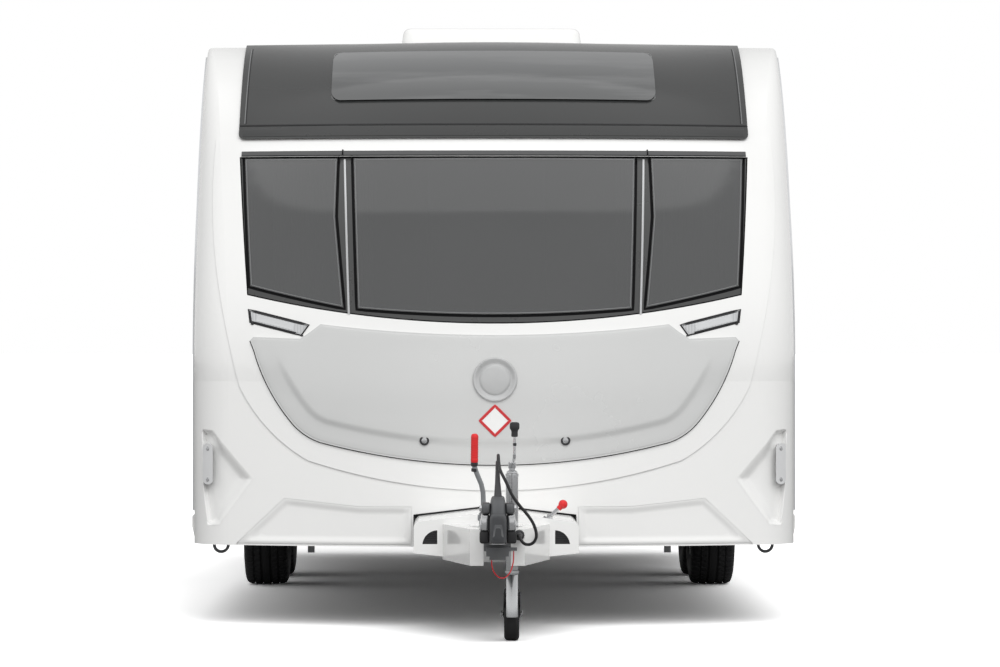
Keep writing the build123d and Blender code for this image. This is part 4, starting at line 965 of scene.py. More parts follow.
lever = Build()
lever.tube([
    (-51.5, -1310, 486), (-51.5, -1312, 540), (-52.5, -1316, 574), (-58.7, -1322, 603),
    (-76.7, -1328, 646.5), (-84, -1334, 668), (-85, -1335.5, 690),
], 9.4, 14)
lever.box((-67, -1331, 441), (-49.9, -1289, 499), 4)
lever.ring((-68, -1310, 478), (-1, 0, 0), [(-2, 12), (2, 12), (4, 10), (4.5, 2)], 20)
lever.tube([
    (-52, -1300, 498), (-52, -1290, 512), (-50, -1278, 500), (-49, -1270, 486),
], 4, 8)
lever.make("handbrake_lever", "body", "galvanised", lever_grey, instead_of="hand_levers")
grip = Build()
start, stop = at(-85, -1335.6, 688), at(-84, -1346, 781)
along = (stop - start).normalized()
size = (stop - start).length * 1000
profile = [(-2, 12.5), (2, 14.2), (8, 14.6)]
for i in range(9):
    base = 12 + i * 9.2
    profile += [(base, 14.6), (base + 2.2, 13.8), (base + 5.6, 13.8), (base + 7.6, 14.6)]
ending = ((-4, 14.6), (4, 14.2), (10, 11.8), (13.5, 7), (14.3, 1))
profile += [(size + more, radius) for more, radius in ending]
grip.ring(start, along, profile, 28)
grip.make("handbrake_grip", "body", "grip_red")
collar = Build()
collar.ring(start - along * 0.016, along, [(0, 11.2), (2, 13.2), (12, 13.8), (15, 13)], 24)
collar.ring(start - along * 0.036, along, [(0, 10.4), (2, 11.4), (10, 11.4), (12, 10.4)], 24)
collar.make("handbrake_collar", "body", "trim_black")

SLANT = Vector((1, 0, 1))     # the clamp handle leans out and up
clamp = Build()
clamp.tube([
    (197, -899.5, 457), (215, -899.5, 472), (236, -899.5, 493), (250, -899.8, 506),
], 7.8, 14)
clamp.ring((207, -899.5, 465), SLANT, [(-6, 9.5), (-4, 13.5), (4, 13.5), (6, 9.5)], 20)
clamp.make("clamp_stem", "body", "plated_steel")
BALL = 17.8
ball = Build()
turns = [math.pi * i / 14 for i in range(15)]
turned = [(-BALL * math.cos(a), max(BALL * math.sin(a), 0.8)) for a in turns]
ball.ring((258, -900, 513), SLANT, turned, 28)
ball.ring((246, -900, 501), SLANT, [(-9, 8.6), (-7, 10.6), (4, 11.2), (8, 10)], 24)
ball.make("clamp_ball", "body", "grip_red", instead_of="hand_levers")
cap = Build()
cap.ring((196, -900, 456), -SLANT, [(-4, 9), (-2, 15.5), (8, 16.5), (12, 15), (13, 10)], 24)
cap.make("clamp_cap", "body", "trim_black")

# jockey: knob, collars and the clamp round its tube
JOCKEY_X = 58
JOCKEY_AXLE = at(JOCKEY_X, -1068, 102.5)


def in_tube(z):
    """A point on the axis of the jockey wheel's tube."""
    return at(JOCKEY_X, -1200, z)


KNOB_X, KNOB_Y, KNOB_LOW, KNOB_TALL = 67, -1262, 781, 55.5
KNOB = (
    (0, 10.5), (0.04, 12.5), (0.34, 12.2), (0.46, 14), (0.52, 18), (0.58, 19.5), (0.86, 19.5),
    (0.95, 16.5), (1, 10.5), (1.003, 1),
)


def knob_point(section, turn):
    """A point of the crank's knob, which has eight shallow flutes."""
    share, radius = section
    if 0.5 < share < 0.9:
        radius *= 1 - 0.09 * (1 + math.cos(8 * turn)) / 2
    x, y = KNOB_X + radius * math.cos(turn), KNOB_Y + radius * math.sin(turn)
    return at(x, y, KNOB_LOW + KNOB_TALL * share)


knob = Build()
loft(knob, KNOB, 40, knob_point)
knob.ring((67.4, -1262, 742), UP, [(4, 4.5), (6, 7), (14, 7), (16, 4.5)], 20)
knob.make("jockey_crank_knob", "body", "trim_black")
post = Build()
post.ring(in_tube(260), UP, [
    (320, 20.2), (0, 20.2), (0, 23.6), (0.6, 24), (378.5, 24), (380, 22.5), (381, 12), (421, 12),
    (422, 11),
], 40)
post.box((30, -1228, 386), (92, -1172, 424), 2)
post.tube([
    in_tube(672), (60, -1214, 680), (64, -1248, 694), (66, -1260, 702), (66.4, -1262, 714),
], 6.2, 14)
post.tube([(66.3, -1262, 706), (66.7, -1262, 750), (67, -1262, 792)], 5, 14)
post.make("jockey_post", "body", "plated_steel", instead_of="jockey_outer_tube")
bands = Build()
for z, radius, tall in ((262, 26.5, 12), (371, 26.5, 10), (428, 26.5, 10), (628, 25.6, 12)):
    bands.ring(in_tube(z), UP, [
        (0, radius - 2), (1.5, radius), (tall - 1.5, radius), (tall, radius - 2),
    ], 36)
bands.ring(in_tube(640), UP, [(-2, 20.5), (2, 21.5), (8, 20.5), (12, 15), (13, 11.5)], 36)
bands.ring(in_tube(672), UP, [(-12, 13.5), (-9, 15), (9, 15), (12, 12), (13, 4)], 28)
for dz in (-12, 12):
    bands.ring((27, -1200, 405 + dz), (-1, 0, 0), [(-2, 8.5), (5, 8.5), (6, 7), (6.2, 1)], 6)
bands.make("jockey_tube_bands", "body", "plated_steel")
sleeve = Build()
sleeve.ring(in_tube(96), UP, [(0, 20.5), (2, 22.5), (160, 22.5), (163, 20.5)], 32)
sleeve.make("jockey_lower_sleeve", "jockey_fork", "plated_steel", instead_of="jockey_fork")
PLATE = (
    (-1046, 88), (-1046, 117), (-1120, 150), (-1176, 186), (-1185, 186), (-1185, 150), (-1130, 112),
    (-1084, 88),
)
plates = Build()
for side in (-1, 1):
    ends = sorted((JOCKEY_X + side * 28.5, JOCKEY_X + side * 32.0))
    rows = [[at(x, y, z) for y, z in PLATE] for x in ends]
    plates.grid(rows, closed=True, caps=True)
plates.box((JOCKEY_X - 32, -1192, 176), (JOCKEY_X + 32, -1176, 190), 2)
plates.ring(JOCKEY_AXLE, (1, 0, 0), [(-34, 6), (34, 6)], 16)
plates.make("jockey_wheel_plates", "jockey_fork", "trim_black", instead_of="jockey_fork")
hub = Build()
for side in (-1, 1):
    place = at(JOCKEY_X + side * 37, -1068, 102.5)
    hub.ring(place, (side, 0, 0), [(-2, 13), (4, 13), (6, 11), (6.3, 1)], 6)
hub.make("jockey_axle_nuts", "jockey_fork", "plated_steel")
tread = Build()
for side in (-1, 1):
    for spoke in range(6):
        turn = TURN * spoke / 6
        out = Vector((0, math.cos(turn), math.sin(turn)))
        tread.tube([
            JOCKEY_AXLE + out * r + Vector((side * w, 0, 0))
            for r, w in ((0.034, 0.0155), (0.052, 0.0155), (0.072, 0.0165))
        ], 4.2, 8)
    tread.ring(JOCKEY_AXLE, (side, 0, 0), [(25, 29.5), (26.8, 28.5), (26.8, 14), (25.8, 12.8)], 36)
tread.make("jockey_wheel_ribs", "jockey_wheel", "trim_black")

# coupling: a pressed hood, its lever, silver lobes and black pads
def swell(value, power):
    """A sine or cosine raised to a power, with its sign kept."""
    return math.copysign(abs(value) ** power, value)


def pillow(build, low, high, power, steps=28, rings=14):
    """A soft-cornered block between two corners in working mm."""
    lo, hi = at(*low), at(*high)
    centre, half = (lo + hi) / 2, (hi - lo) / 2

    def place(tilt, turn):
        flat = swell(math.cos(tilt), power)
        return centre + Vector((
            half.x * flat * swell(math.cos(turn), power),
            half.y * flat * swell(math.sin(turn), power), half.z * swell(math.sin(tilt), power),
        ))

    loft(build, [math.radians(-88 + 176 * i / rings) for i in range(rings + 1)], steps, place)


def pillow_pairs(build, *pairs):
    """Pillows on both sides, each by its X range on the nearside, Y range, Z range and power."""
    for side in (-1, 1):
        for x, y, z, power in pairs:
            x0, x1 = sorted((side * x[0], side * x[1]))
            pillow(build, (x0, y[0], z[0]), (x1, y[1], z[1]), power)


HOOD = (
    (-1851, 432, 464, 16, 13), (-1847, 420, 494, 25, 21), (-1834, 409, 524, 30, 26),
    (-1808, 403, 550, 32, 29), (-1776, 400, 566, 33, 30), (-1742, 398, 575, 33, 30),
    (-1716, 397, 571, 33, 30), (-1668, 396, 524, 32, 29), (-1632, 396, 482, 32, 29),
)


def hood_row(y, z0, z1, wide, narrow, skin=0.0):
    """An open arch across the coupling: straight walls, then a rounded crown."""
    row = []
    for s in range(25):
        turn = math.pi * s / 24
        share_x = swell(math.cos(turn), 0.26)
        share_z = abs(math.sin(turn)) ** 0.40
        half = wide + (narrow - wide) * share_z - skin
        row.append(at(share_x * half, y, z0 + (z1 - skin - z0) * share_z))
    return row


hood = Build()
outer = [hood_row(*section) for section in HOOD]
inner = [hood_row(*section, skin=3.5) for section in reversed(HOOD)]
hood.grid([*outer, *inner, outer[0]])
hood.grid([[row[0] for row in outer], [row[0] for row in reversed(inner)]])
hood.grid([[row[-1] for row in outer], [row[-1] for row in reversed(inner)]])
pillow(hood, (-31, -1850, 402), (31, -1792, 512), 0.36)
pillow_pairs(hood, ((27, 61), (-1806, -1694), (508, 551), 0.42))
hood.make("coupling_hood", "body", "coupling_dark", instead_of="coupling_head")
cup = Build()
cup.ring((0, -1760, 398), UP, [
    (0, 25.4), (0, 30.5), (55, 30.5), (66, 20), (68, 1), (64, 1), (62.5, 12), (58, 19.5), (50, 24),
    (40, 25.4),
], 40, caps=False)
cup.make("coupling_ball_cup", "body", "plated_steel", instead_of="coupling_head")
silver = Build()
pillow_pairs(
    silver, ((30, 63.5), (-1804, -1722), (444, 512), 0.5),
    ((54, 67), (-1796, -1732), (446, 492), 0.6),
)
silver.make("stabiliser_lobes", "body", "plated_steel", instead_of="stabiliser_arms")
black = Build()
pillow_pairs(black, ((31, 68), (-1802, -1726), (401, 448), 0.42))
black.make("stabiliser_pad_cups", "body", "rubber_black")
bolts = Build()
for side in (-1, 1):
    for y in (-1782, -1716):
        bolts.ring((side * 60.5, y, 529), (side, 0, 0), [(-2, 11), (6, 11), (8, 9), (8.3, 1)], 6)
for y in (-1478, -1420, -1350):
    bolts.ring((0, y, 474.7), UP, [(-1, 10), (5, 10), (6.5, 8), (6.7, 1)], 6)
bolts.make("coupling_bolts", "body", "plated_steel")
GRIPPER = (
    (-1766, 552, 15.5, 8), (-1745, 570, 15, 9), (-1700, 592, 12.5, 9), (-1640, 622, 10, 9),
    (-1590, 650, 8.5, 9), (-1545, 674, 7.5, 8.5), (-1510, 690, 6.5, 7.5), (-1498, 693, 5, 5),
)


def gripper_point(section, turn):
    y, z, half, thick = section
    x = half * swell(math.cos(turn), 0.6)
    return at(x, y, z + thick * swell(math.sin(turn), 0.7))


gripper = Build()
loft(gripper, GRIPPER, 20, gripper_point)
gripper.make("coupling_lever", "body", "trim_black", instead_of="coupling_head")

# fairing: slats behind its two vents, and a rubber edge towards the panel
slats = Build()
for side in (-1, 1):
    for i in range(6):
        z = 368 + i * 8.4
        right = 281 - max(0, (z - 366)) * 0.42
        side_box(slats, side, (227, right), (-967, -963), (z, z + 4.2), 0.8)
    side_box(slats, side, (224, 286), (-962, -960), (360, 418), 0.6)
slats.make("fairing_vent_slats", "body", "trim_black")
edge = Build()
for side in (-1, 1):
    edge.tube([(side * 320, -386, z) for z in (330, 370, 410, 446)], 3.2, 8)
edge.make("fairing_rubber_edge", "body", "rubber_black")


# ---------------------------------------------------------------- wheels
WHEEL_X, WHEEL_Z = 1035, 334


def wheel_base(place, side, y):
    """A road wheel's body, the sign of its side and its middle."""
    sign = 1 if side == "nearside" else -1
    return f"wheel_{place}_{side}", sign, at(sign * WHEEL_X, y, WHEEL_Z)


# half of a tyre's section: distance from the middle, radius, depth of the cross cuts
TYRE_HALF = (
    (0, 334.0, 0), (14, 334.0, 0), (16, 333.4, 0), (17, 326.5, 0), (25, 326.5, 0), (26, 333.2, 0),
    (28, 333.8, 0), (38, 333.6, 3.5), (50, 333.2, 3.5), (52, 332.6, 0), (53, 326.0, 0),
    (60, 326.0, 0), (61, 332.2, 0), (63, 332.4, 4.5), (74, 331.2, 5.5), (84, 328.0, 6.5),
    (91, 322.5, 6.0), (95.5, 314, 3.0), (98, 306, 0), (99.2, 300, 0), (100.2, 296, 0),
    (101.6, 284, 0), (102.6, 272, 0), (102.4, 258, 0), (101, 246, 0), (99.6, 243.5, 0),
    (99.0, 240, 0), (97, 230, 0), (93, 220, 0), (89, 214, 0), (88, 209, 0), (86, 206, 0),
)
PITCHES = 60                # tread blocks round a tyre
PITCH = ((0.0, 0), (0.62, 0), (0.70, 1), (0.92, 1))     # share of a pitch, and whether it is cut


def tyre(place, side, y):
    """A road tyre with four grooves, shoulder blocks, ribs on its wall and a bead."""
    body, sign, centre = wheel_base(place, side, y)
    rows = []
    section = [(-d, r, c) for d, r, c in reversed(TYRE_HALF)] + list(TYRE_HALF[1:])
    for pitch in range(PITCHES):
        for share, low in PITCH:
            row = []
            for d, r, c in section:
                skew = 0.25 * (d / 100) * (1 if d * sign > 0 else -1) + (0.5 if d > 60 else 0)
                turn = TURN * (pitch + share + skew * 0.35) / PITCHES
                radius = (r - (c if low else 0)) / 1000
                back, high = radius * math.cos(turn), radius * math.sin(turn)
                row.append(centre + Vector((sign * d / 1000, back, high)))
            rows.append(row)
    rows.append(rows[0])
    build = Build()
    build.grid(rows)
    build.make(
        f"road_tyre_{place}_{side}", body, "tyre_rubber", instead_of=f"tyre_{place}_{side}",
    )


WHEEL_NUT = ((-1, 11.5), (1, 11.5), (1.2, 9.5), (13, 9.2), (15, 7.5), (15.3, 1))
CENTRE_CAP = ((1, 34), (4.5, 33), (5.5, 30), (5.8, 12), (4.8, 11), (4.8, 1))
VALVE = ((0, 4.2), (20, 4.2), (20.5, 5.2), (31, 5.2), (32, 3))
RIM_LIP = (
    (-6, 203.5), (-1, 205.5), (3.5, 205.5), (4.8, 203.5), (3.5, 200.5), (-2, 196.5), (-10, 191.2),
    (-30, 190.5),
)
SPOKE_RIB = ((0.056, 0.0735), (0.080, 0.069), (0.120, 0.0635), (0.160, 0.0615), (0.186, 0.0605))


def wheel_parts(place, side, y):
    """Five nuts, the centre cap, the valve, the rim's lip and a rib on each of seven spokes."""
    body, sign, centre = wheel_base(place, side, y)

    def spot(out, radius=0.0, turn=0.0):
        return centre + Vector((sign * out, radius * math.cos(turn), radius * math.sin(turn)))

    axle = (sign, 0, 0)
    nuts = Build()
    for i in range(5):
        nuts.ring(spot(0.073, 0.048, TURN * i / 5), axle, WHEEL_NUT, 6)
    nuts.ring(spot(0.083), axle, CENTRE_CAP, 40)
    nuts.ring(spot(0.058, 0.176, 0.45), axle, VALVE, 12)
    nuts.make(f"wheel_nuts_{place}_{side}", body, "plated_steel")
    lips = Build()
    lips.ring(spot(0.0925), axle, RIM_LIP, 72, caps=False)
    for i in range(7):
        turn = TURN * (i + 0.5) / 7
        out = Vector((0, math.sin(-turn), math.cos(turn)))
        line = [centre + out * radius + Vector((sign * x, 0, 0)) for radius, x in SPOKE_RIB]
        lips.tube(line, lambda share: 10.5 - 4 * share, 10)
    lips.make(f"rim_lip_and_ribs_{place}_{side}", body, "wheel_alloy")


AXLES = (("front", 3000), ("rear", 3820))
for place, y in AXLES:
    for side in ("nearside", "offside"):
        tyre(place, side, y)
        wheel_parts(place, side, y)

# ---------------------------------------------------------------- windows, door and hatches
HALF = 1213                 # half the width over the side walls
REAR_Y = 6120


def side_strip(build, side, x, ys, zs, grow, radius, *profile):
    """A strip round an opening of a side wall, grown by some mm; profile: width, low and high."""
    line = rounded_line((ys[0] - grow, zs[0] - grow), (ys[1] + grow, zs[1] + grow), radius)
    flat_strip(build, [(side * x, y, z) for y, z in line], (side, 0, 0), *profile)


def rear_strip(build, y, low, high, radius, *profile):
    """A strip round an opening of the rear wall."""
    line = [(x, y, z) for x, z in rounded_line(low, high, radius)]
    flat_strip(build, line, BACKWARDS, *profile)


WINDOWS = {
    1: (((700, 1700), (1180, 1830)), ((2400, 3250), (1330, 1830)), ((5150, 5800), (1230, 1830))),
    -1: (
        ((700, 1700), (1180, 1830)), ((2400, 3250), (1230, 1830)), ((4400, 4850), (1430, 1830)),
        ((5150, 5800), (1230, 1830)),
    ),
}
rubbers = Build()
# painted glint: a lighter line just inside the edge of each side and rear pane
pane_glint_lines = Build()
for side, openings in WINDOWS.items():
    for ys, zs in openings:
        side_strip(rubbers, side, HALF, ys, zs, 21, 76, 11, -0.5, 9.2)
        side_strip(pane_glint_lines, side, HALF + 8, ys, zs, -22, 40, 3, -0.4, 0.5)
        fifth = (ys[1] - ys[0]) * 0.2
        for y in (ys[0] + fifth, ys[1] - fifth):
            side_box(
                rubbers, side, (HALF + 2, HALF + 13), (y - 34, y + 34), (zs[1] + 16, zs[1] + 30), 3,
            )
rear_strip(rubbers, REAR_Y, (-671, 1279), (671, 1851), 76, 11, -0.5, 9.2)
rear_strip(pane_glint_lines, REAR_Y + 8, (-628, 1322), (628, 1808), 40, 3, -0.4, 0.5)
for x in (-380, 380):
    rubbers.box((x - 34, REAR_Y + 2, 1846), (x + 34, REAR_Y + 13, 1860), 3)
rubbers.make("window_rubbers", "body", "rubber_black")
pane_glint_lines.make("window_pane_painted_glints", "body", "trim_grey", painted_glint)

HATCHES = (
    (1, (1780, 2280), (560, 880), "storage_hatch"),
    (-1, (4960, 5360), (560, 900), "cassette_hatch"),
)
door_seal = Build()
side_strip(door_seal, 1, HALF - 2, (4340.5, 4959.5), (505.5, 2249.5), 0, 60, 5, -3, 1.2)
for side, ys, zs, body in HATCHES:
    side_strip(door_seal, side, HALF - 3, ys, zs, -2, 38, 3.4, -3, 1.4)
door_seal.make("door_and_hatch_seals", "body", "rubber_black")
door_trim = Build()
side_strip(door_trim, 1, HALF, (4485, 4815), (1405, 1975), 1, 51, 10, -0.5, 7.2)
door_trim.make("door_window_rubber", "entrance_door", "rubber_black")
handle = Build()
handle.box((HALF + 13, 4377, 1165), (HALF + 19, 4397, 1240), 2)
handle.ring((HALF + 14, 4387, 1275), (1, 0, 0), [
    (-1, 11), (2, 11), (3, 9), (2.4, 7.5), (2.4, 1),
], 24)
handle.make("door_latch_and_lock", "entrance_door", "trim_black")
LATCH_RING = ((-1, 20.5), (1.2, 20.5), (2.2, 18.5), (1.4, 17), (1.4, 1))
LATCH_KEY = ((-1, 8), (3, 8), (3.8, 6.5), (3.4, 1))
for side, ys, zs, body in HATCHES:
    latch = Build()
    middle = (ys[0] + ys[1]) / 2
    latch.ring((side * (HALF + 7), middle, zs[1] - 40), (side, 0, 0), LATCH_RING, 32)
    latch.ring((side * (HALF + 8), middle, zs[1] - 40), (side, 0, 0), LATCH_KEY, 20)
    latch.make(f"{body}_latch", body, "trim_black")

# rooflights: rubber seals
seal = Build()
for x, y0, y1, z in ((395, 1480, 2020, 2430), (210, 3870, 4290, 2421), (210, 5090, 5510, 2421)):
    line = [(px, py, z) for px, py in rounded_line((-x + 2, y0 + 2), (x - 2, y1 - 2), 50)]
    flat_strip(seal, line, UP, 9, -3, 1.6)
seal.make("rooflight_seals", "body", "rubber_black")

# rear lamps: dark rings, two amber lenses on each side, and the reflectors of the side walls
LAMP_X, LAMP_HEIGHTS, AMBER_HEIGHTS = 992.5, (1060, 970, 880, 790), (1060, 880)
LAMP_RING = ((-1, 44), (2.2, 43), (2.8, 40), (1.2, 38.5), (0.4, 38))
LAMP_LENS = ((-1, 38.5), (1.6, 37), (2.8, 30), (3.4, 15), (3.6, 1))
rings = Build()
lenses = Build()
for side in (-1, 1):
    cx = side * LAMP_X
    for z in LAMP_HEIGHTS:
        rings.ring((cx, REAR_Y + 21.5, z), BACKWARDS, LAMP_RING, 40, caps=False)
    rear_strip(rings, REAR_Y, (cx - 64, 658), (cx + 64, 1122), 42, 5, -0.5, 4.0)
    for z in AMBER_HEIGHTS:
        lenses.ring((cx, REAR_Y + 21.6, z), BACKWARDS, LAMP_LENS, 40)
rings.make("rear_lamp_rings", "body", "trim_black")
lenses.make("rear_lamp_amber_lenses", "body", "lamp_red", lamp_amber)
REFLECTOR_PLACES = (1100, 2350, 4600, 5700)
marks = Build()
for side in (-1, 1):
    for y in REFLECTOR_PLACES:
        side_box(marks, side, (HALF + 14.5, HALF + 19), (y - 38, y + 38), (388, 416), 2)
marks.make("side_reflectors", "body", "lamp_red", lamp_amber)

# joints of the wall, roof and rear panels
joints = Build()
for side in (-1, 1):
    joints.tube([(side * (HALF - 0.6), REAR_Y - 140, z) for z in (340, 900, 1500, 2100)], 2.2, 6)
joints.tube([(x, 5750, 2396.2) for x in (-1180, -600, 0, 600, 1180)], 2.8, 6)
joints.make("roof_and_rear_joints", "body", "rubber_black")

# ---------------------------------------------------------------- soft pieces
def curtain(name, x, y, z, pleats, seed):
    """A pleated curtain, gathered at its heading and a little fuller at its hem."""
    across, down = 16 * pleats, 34
    middle = (y[0] + y[1]) / 2
    depth = (y[1] - y[0]) / 2 - 1.5
    rows = []
    for v in range(down + 1):
        t = v / down
        row = []
        for u in range(across + 1):
            s = u / across
            phase = TURN * pleats * (s + 0.018 * math.sin(5.1 * s + seed) * t)
            swing = depth * (0.42 + 0.5 * smooth_step(t, 0, 0.25))
            swing *= 0.86 + 0.14 * math.sin(7.3 * s + seed * 2.1)
            fold = math.sin(phase) + 0.16 * math.sin(2 * phase + 2.2 * t + seed)
            row.append(at(
                x[0] + 1 + (x[1] - x[0] - 2) * s + 1.6 * math.sin(phase + 1.3) * t,
                middle + swing * fold / 1.12, z[1] + (z[0] - z[1]) * t,
            ))
        rows.append(row)
    build = Build()
    build.grid(rows)
    obj = build.make(name, "body", "curtain_fabric", instead_of="front_curtains")
    hem = Build()
    for row, radius in ((rows[0], 3.2), (rows[-1], 1.6)):
        hem.tube([p + Vector((0, 0, -0.003 if row is rows[0] else 0.003)) for p in row], radius, 6)
    tape = hem.make(f"{name}_hems", "body", "curtain_fabric")


CURTAIN_Z = (1252, 1888)
for side, name in SIDES:
    outer = sorted((side * 690, side * 905))
    inner = sorted((side * 492, side * 575))
    curtain(f"side_curtain_{name}", outer, (207.7, 257), CURTAIN_Z, 6, 1.0 + side)
    curtain(f"centre_curtain_{name}", inner, (67, 116.3), CURTAIN_Z, 3, 2.4 + side)


# the crown of a pad, from its middle out: share of its outline, share of its height
CROWN = ((0.02, 1.0), (0.35, 0.96), (0.62, 0.84), (0.82, 0.58), (0.93, 0.28))


def cushion(name, low, high, thin, crown, corner, fill):
    """A stuffed pad with a crowned face and a piped seam; thin is its thickness axis."""
    order = [axis for axis in (0, 1, 2) if axis != thin] + [thin]
    lo = [low[a] for a in order]
    hi = [high[a] for a in order]
    mid = ((lo[0] + hi[0]) / 2, (lo[1] + hi[1]) / 2)
    half = ((hi[0] - lo[0]) / 2, (hi[1] - lo[1]) / 2)
    outline = rounded_line((-half[0], -half[1]), (half[0], half[1]), corner, 6)[:-1]

    def ring(scale, inward, level, wrinkle=0.0):
        row = []
        for i, (a, b) in enumerate(outline):
            size = math.hypot(a, b)
            pull = (size - inward) / size * scale
            lift = wrinkle * math.sin(i * 1.7) * math.sin(i * 0.61 + 1.3)
            place = [0, 0, 0]
            for axis, value in zip(order, (mid[0] + a * pull, mid[1] + b * pull, level + lift)):
                place[axis] = value
            row.append(at(*place))
        return row

    rows = [ring(scale, 4, lo[2] + crown * 0.45 * (1 - share)) for scale, share in CROWN]
    rows.append(ring(1, 7, lo[2] + crown * 0.45 + 2))
    rows.append(ring(1, 2, lo[2] + crown * 0.45 + 8))
    seam_low = len(rows) - 1
    rows.append(ring(1, 0.5, (lo[2] + hi[2]) / 2, 0.6))
    rows.append(ring(1, 2, hi[2] - crown - 8))
    seam_high = len(rows) - 1
    rows.append(ring(1, 7, hi[2] - crown - 2))
    for scale, share in reversed(CROWN):
        rows.append(ring(scale, 4, hi[2] - crown * (1 - share), 0.5))
    build = Build()
    build.grid(rows, closed=True, caps=True)
    for index in (seam_low, seam_high):
        build.tube(rows[index], 3.2, 6, closed=True)
    obj = build.make(name, "body", "cushion_fabric", instead_of="sofa_and_bed_cushions")


SEAT_LOW = 880.3
for side, name in SIDES:
    for place, (y0, y1) in (("front", (410, 1360)), ("rear", (1366, 2320))):
        for kind, x, tall, *shape in (
            ("seat", (650, 1030), 129.7, 2, 26, 60, 0.8),
            ("back", (1034, 1180), 479.7, 0, 24, 60, 0.75),
        ):
            x0, x1 = sorted((side * x[0], side * x[1]))
            low, high = (x0, y0, SEAT_LOW), (x1, y1, SEAT_LOW + tall)
            cushion(f"{kind}_cushion_{place}_{name}", low, high, *shape)
cushion("bed_mattress", (-890, 5300, 900.3), (890, 6080, 1060), 2, 18, 70, 0.9)


# ---------------------------------------------------------------- camera
CAMERA_AT = Vector((-0.150, -21.150, 1.171))
CAMERA_TURN = -0.45         # degrees about the vertical: a little to the right
LENS_MM = 169.2
cam_data = bpy.data.cameras.new("camera")
cam_data.sensor_width = 36.0
cam_data.lens = LENS_MM
cam_data.shift_x = 0.006
cam_data.clip_end = 400.0
cam = add_object("camera", cam_data)
cam.location = CAMERA_AT
cam.rotation_euler = (math.radians(90), 0, math.radians(CAMERA_TURN))
SCENE.camera = cam


# ---------------------------------------------------------------- free cables
def free_cord(name, route, diameter, slot, node):
    curve = bpy.data.curves.new(name, "CURVE")
    curve.dimensions = "3D"
    curve.bevel_depth = diameter / 2
    curve.bevel_resolution = 4
    curve.resolution_u = 10
    curve.use_fill_caps = True
    spline = curve.splines.new("NURBS")
    spline.points.add(len(route) - 1)
    for point, place in zip(spline.points, route):
        point.co = (*at(*place), 1)
    spline.order_u = 3
    spline.use_endpoint_u = True
    obj = add_object(name, curve)
    curve.materials.append(FINISH[slot])
    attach(obj, "body")
    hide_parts(node)
    return obj


CABLE_ROUTE = (
    (15, -1290, 487), (15, -1325, 487), (13, -1368, 486), (9, -1412, 488), (6, -1446, 510),
    (4, -1464, 556), (3, -1473, 612), (3, -1478, 664), (3, -1490, 706), (3, -1518, 722),
    (4, -1556, 708), (6, -1600, 680), (11, -1640, 660), (31, -1666, 624), (52, -1676, 574),
    (82, -1680, 534), (108, -1680, 506), (130, -1678, 474), (142, -1674, 442), (143, -1668, 416),
    (130, -1660, 396), (110, -1648, 390), (94, -1626, 396), (86, -1600, 408), (82, -1570, 420),
    (82, -1540, 420),
)
WIRE_ROUTE = (
    (-22, -1584, 332), (-22, -1584, 312), (-16, -1586, 290), (-2, -1586, 271), (18, -1584, 262),
    (38, -1582, 272), (51, -1580, 294), (58, -1579, 320), (60, -1579, 343), (60, -1579, 366),
)
cable = free_cord("vehicle_lead", CABLE_ROUTE, 0.0115, "cable_black", "electric_cable")
wire = free_cord("breakaway_wire", WIRE_ROUTE, 0.0045, "cable_red", "breakaway_cable")

relief = Build()
relief.ring((15, -1290, 487), (0, -1, 0), [
    (-2, 8.8), (4, 8.8), (6, 8), (12, 7.8), (14, 7), (20, 7.2), (22, 6.6), (30, 6.4), (34, 6),
], 20)
lead_relief = relief.make("lead_strain_relief", "body", "cable_black")

plug = Build()
plug_at = at(82, -1540, 420)
plug.ring(plug_at, BACKWARDS, [
    (-22, 6.4), (-18, 7.2), (-12, 7.8), (-6, 9.6), (0, 10.8), (16, 11.2), (20, 16.5), (24, 18.8),
    (52, 19), (54, 18), (64, 18), (66, 19), (70, 19), (70, 16.5), (60, 16.5),
], 32)
for rib in range(12):
    turn = TURN * rib / 12
    out = Vector((math.cos(turn), 0, math.sin(turn)))
    plug.tube([plug_at + out * 0.0188 + Vector((0, y, 0)) for y in (0.026, 0.038, 0.050)], 1.1, 6)
lead_plug = plug.make("lead_plug", "body", "trim_black", instead_of="electric_plug")

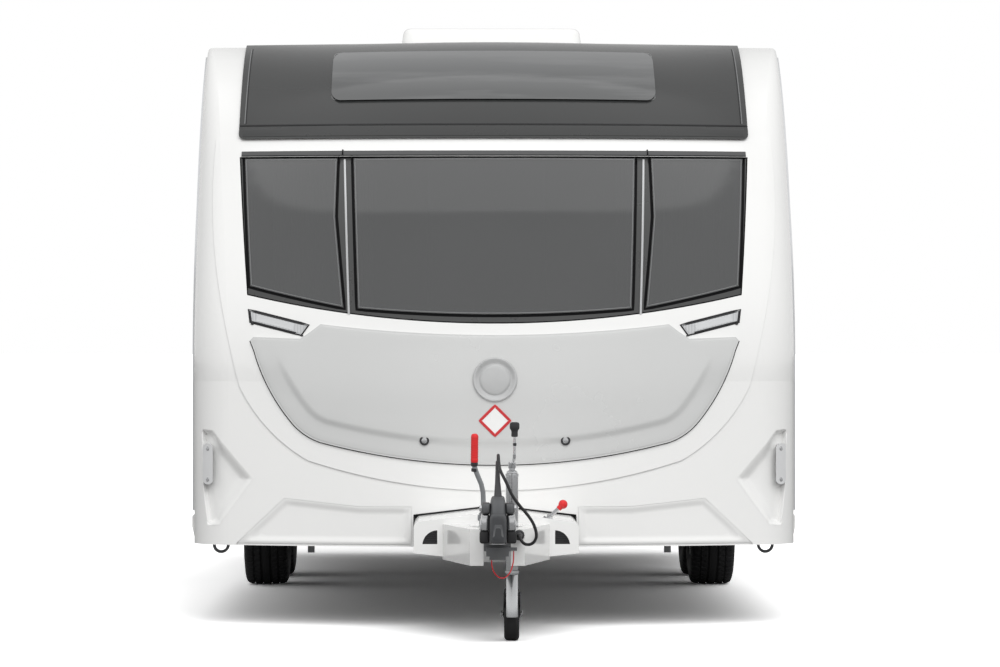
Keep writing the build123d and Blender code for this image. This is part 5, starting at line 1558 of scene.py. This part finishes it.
# ---------------------------------------------------------------- stage and light
floor = bpy.data.meshes.new("floor")
corners = [(-150, -60, 0), (150, -60, 0), (150, 240, 0), (-150, 240, 0)]
floor.from_pydata(corners, [], [(0, 1, 2, 3)])
floor_obj = add_object("floor", floor)
floor_mat = bpy.data.materials.new("studio_floor")
floor_mat.use_nodes = True
fn = Nodes(floor_mat.node_tree)
floor_noise = fn.noise(6.0, 3, 0.5, fn.add("ShaderNodeTexCoord").outputs["Object"])
floor_white = fn.mix(floor_noise, (0.985, 0.985, 0.985, 1), (1, 1, 1, 1))
floor_rays = fn.add("ShaderNodeLightPath").outputs["Is Camera Ray"]
fn.set("Base Color", fn.mix(floor_rays, (0.30, 0.30, 0.30, 1), floor_white))
floor_seen = fn.add("ShaderNodeBsdfDiffuse", {"Color": (1.6, 1.6, 1.6, 1)})
floor_lift = fn.add("ShaderNodeEmission", {"Color": (1, 1, 1, 1), "Strength": 0.015})
floor_sum = fn.add("ShaderNodeAddShader", {0: floor_seen.outputs[0], 1: floor_lift.outputs[0]})
floor_mixed = fn.either(floor_rays, fn.shader, floor_sum)
fn.put(floor_mat.node_tree.nodes["Material Output"].inputs["Surface"], floor_mixed.outputs[0])
fn.set("Roughness", 1.0)
fn.set("Specular IOR Level", 0.0)
floor.materials.append(floor_mat)

world = bpy.data.worlds.new("studio")
SCENE.world = world
world.use_nodes = True
wn = Nodes(world.node_tree)
world.node_tree.nodes.clear()
out = wn.add("ShaderNodeOutputWorld")
way = wn.add("ShaderNodeTexCoord").outputs["Generated"]
axes = wn.add("ShaderNodeSeparateXYZ", {"Vector": way})
height = wn.spread(axes.outputs["Z"], 0, 1, -1, 1)
mirror_sky = wn.ramp(
    height,
    (0.0, (0.6, 0.6, 0.6)), (0.5, (0.85, 0.85, 0.85)), (0.66, (0.60, 0.60, 0.60)),
    (0.912, (0.50, 0.50, 0.50)), (0.919, (1.0, 1.0, 1.0)), (1.0, (1.0, 1.0, 1.0)),
)
dome = wn.ramp(height, (0.0, (1.0, 1.0, 1.0)), (0.5, (1.0, 1.0, 1.0)), (1.0, (0.55, 0.55, 0.55)))

soft, gloss, seen = (
    wn.add("ShaderNodeBackground", {"Color": colour, "Strength": 1.0})
    for colour in (dome, mirror_sky, (1, 1, 1, 1))
)
rays = wn.add("ShaderNodeLightPath").outputs
lit = wn.either(rays["Is Glossy Ray"], soft, gloss)
mixed = wn.either(rays["Is Camera Ray"], lit, seen)
wn.put(out.inputs["Surface"], mixed.outputs[0])

key = bpy.data.lights.new("key", "SUN")
key.energy = 0.62 * math.pi
key.angle = math.radians(50)
key_obj = add_object("key", key)
key_obj.rotation_euler = Vector((-0.12, 0.76, -0.64)).to_track_quat("-Z", "Y").to_euler()
key_obj.visible_glossy = False
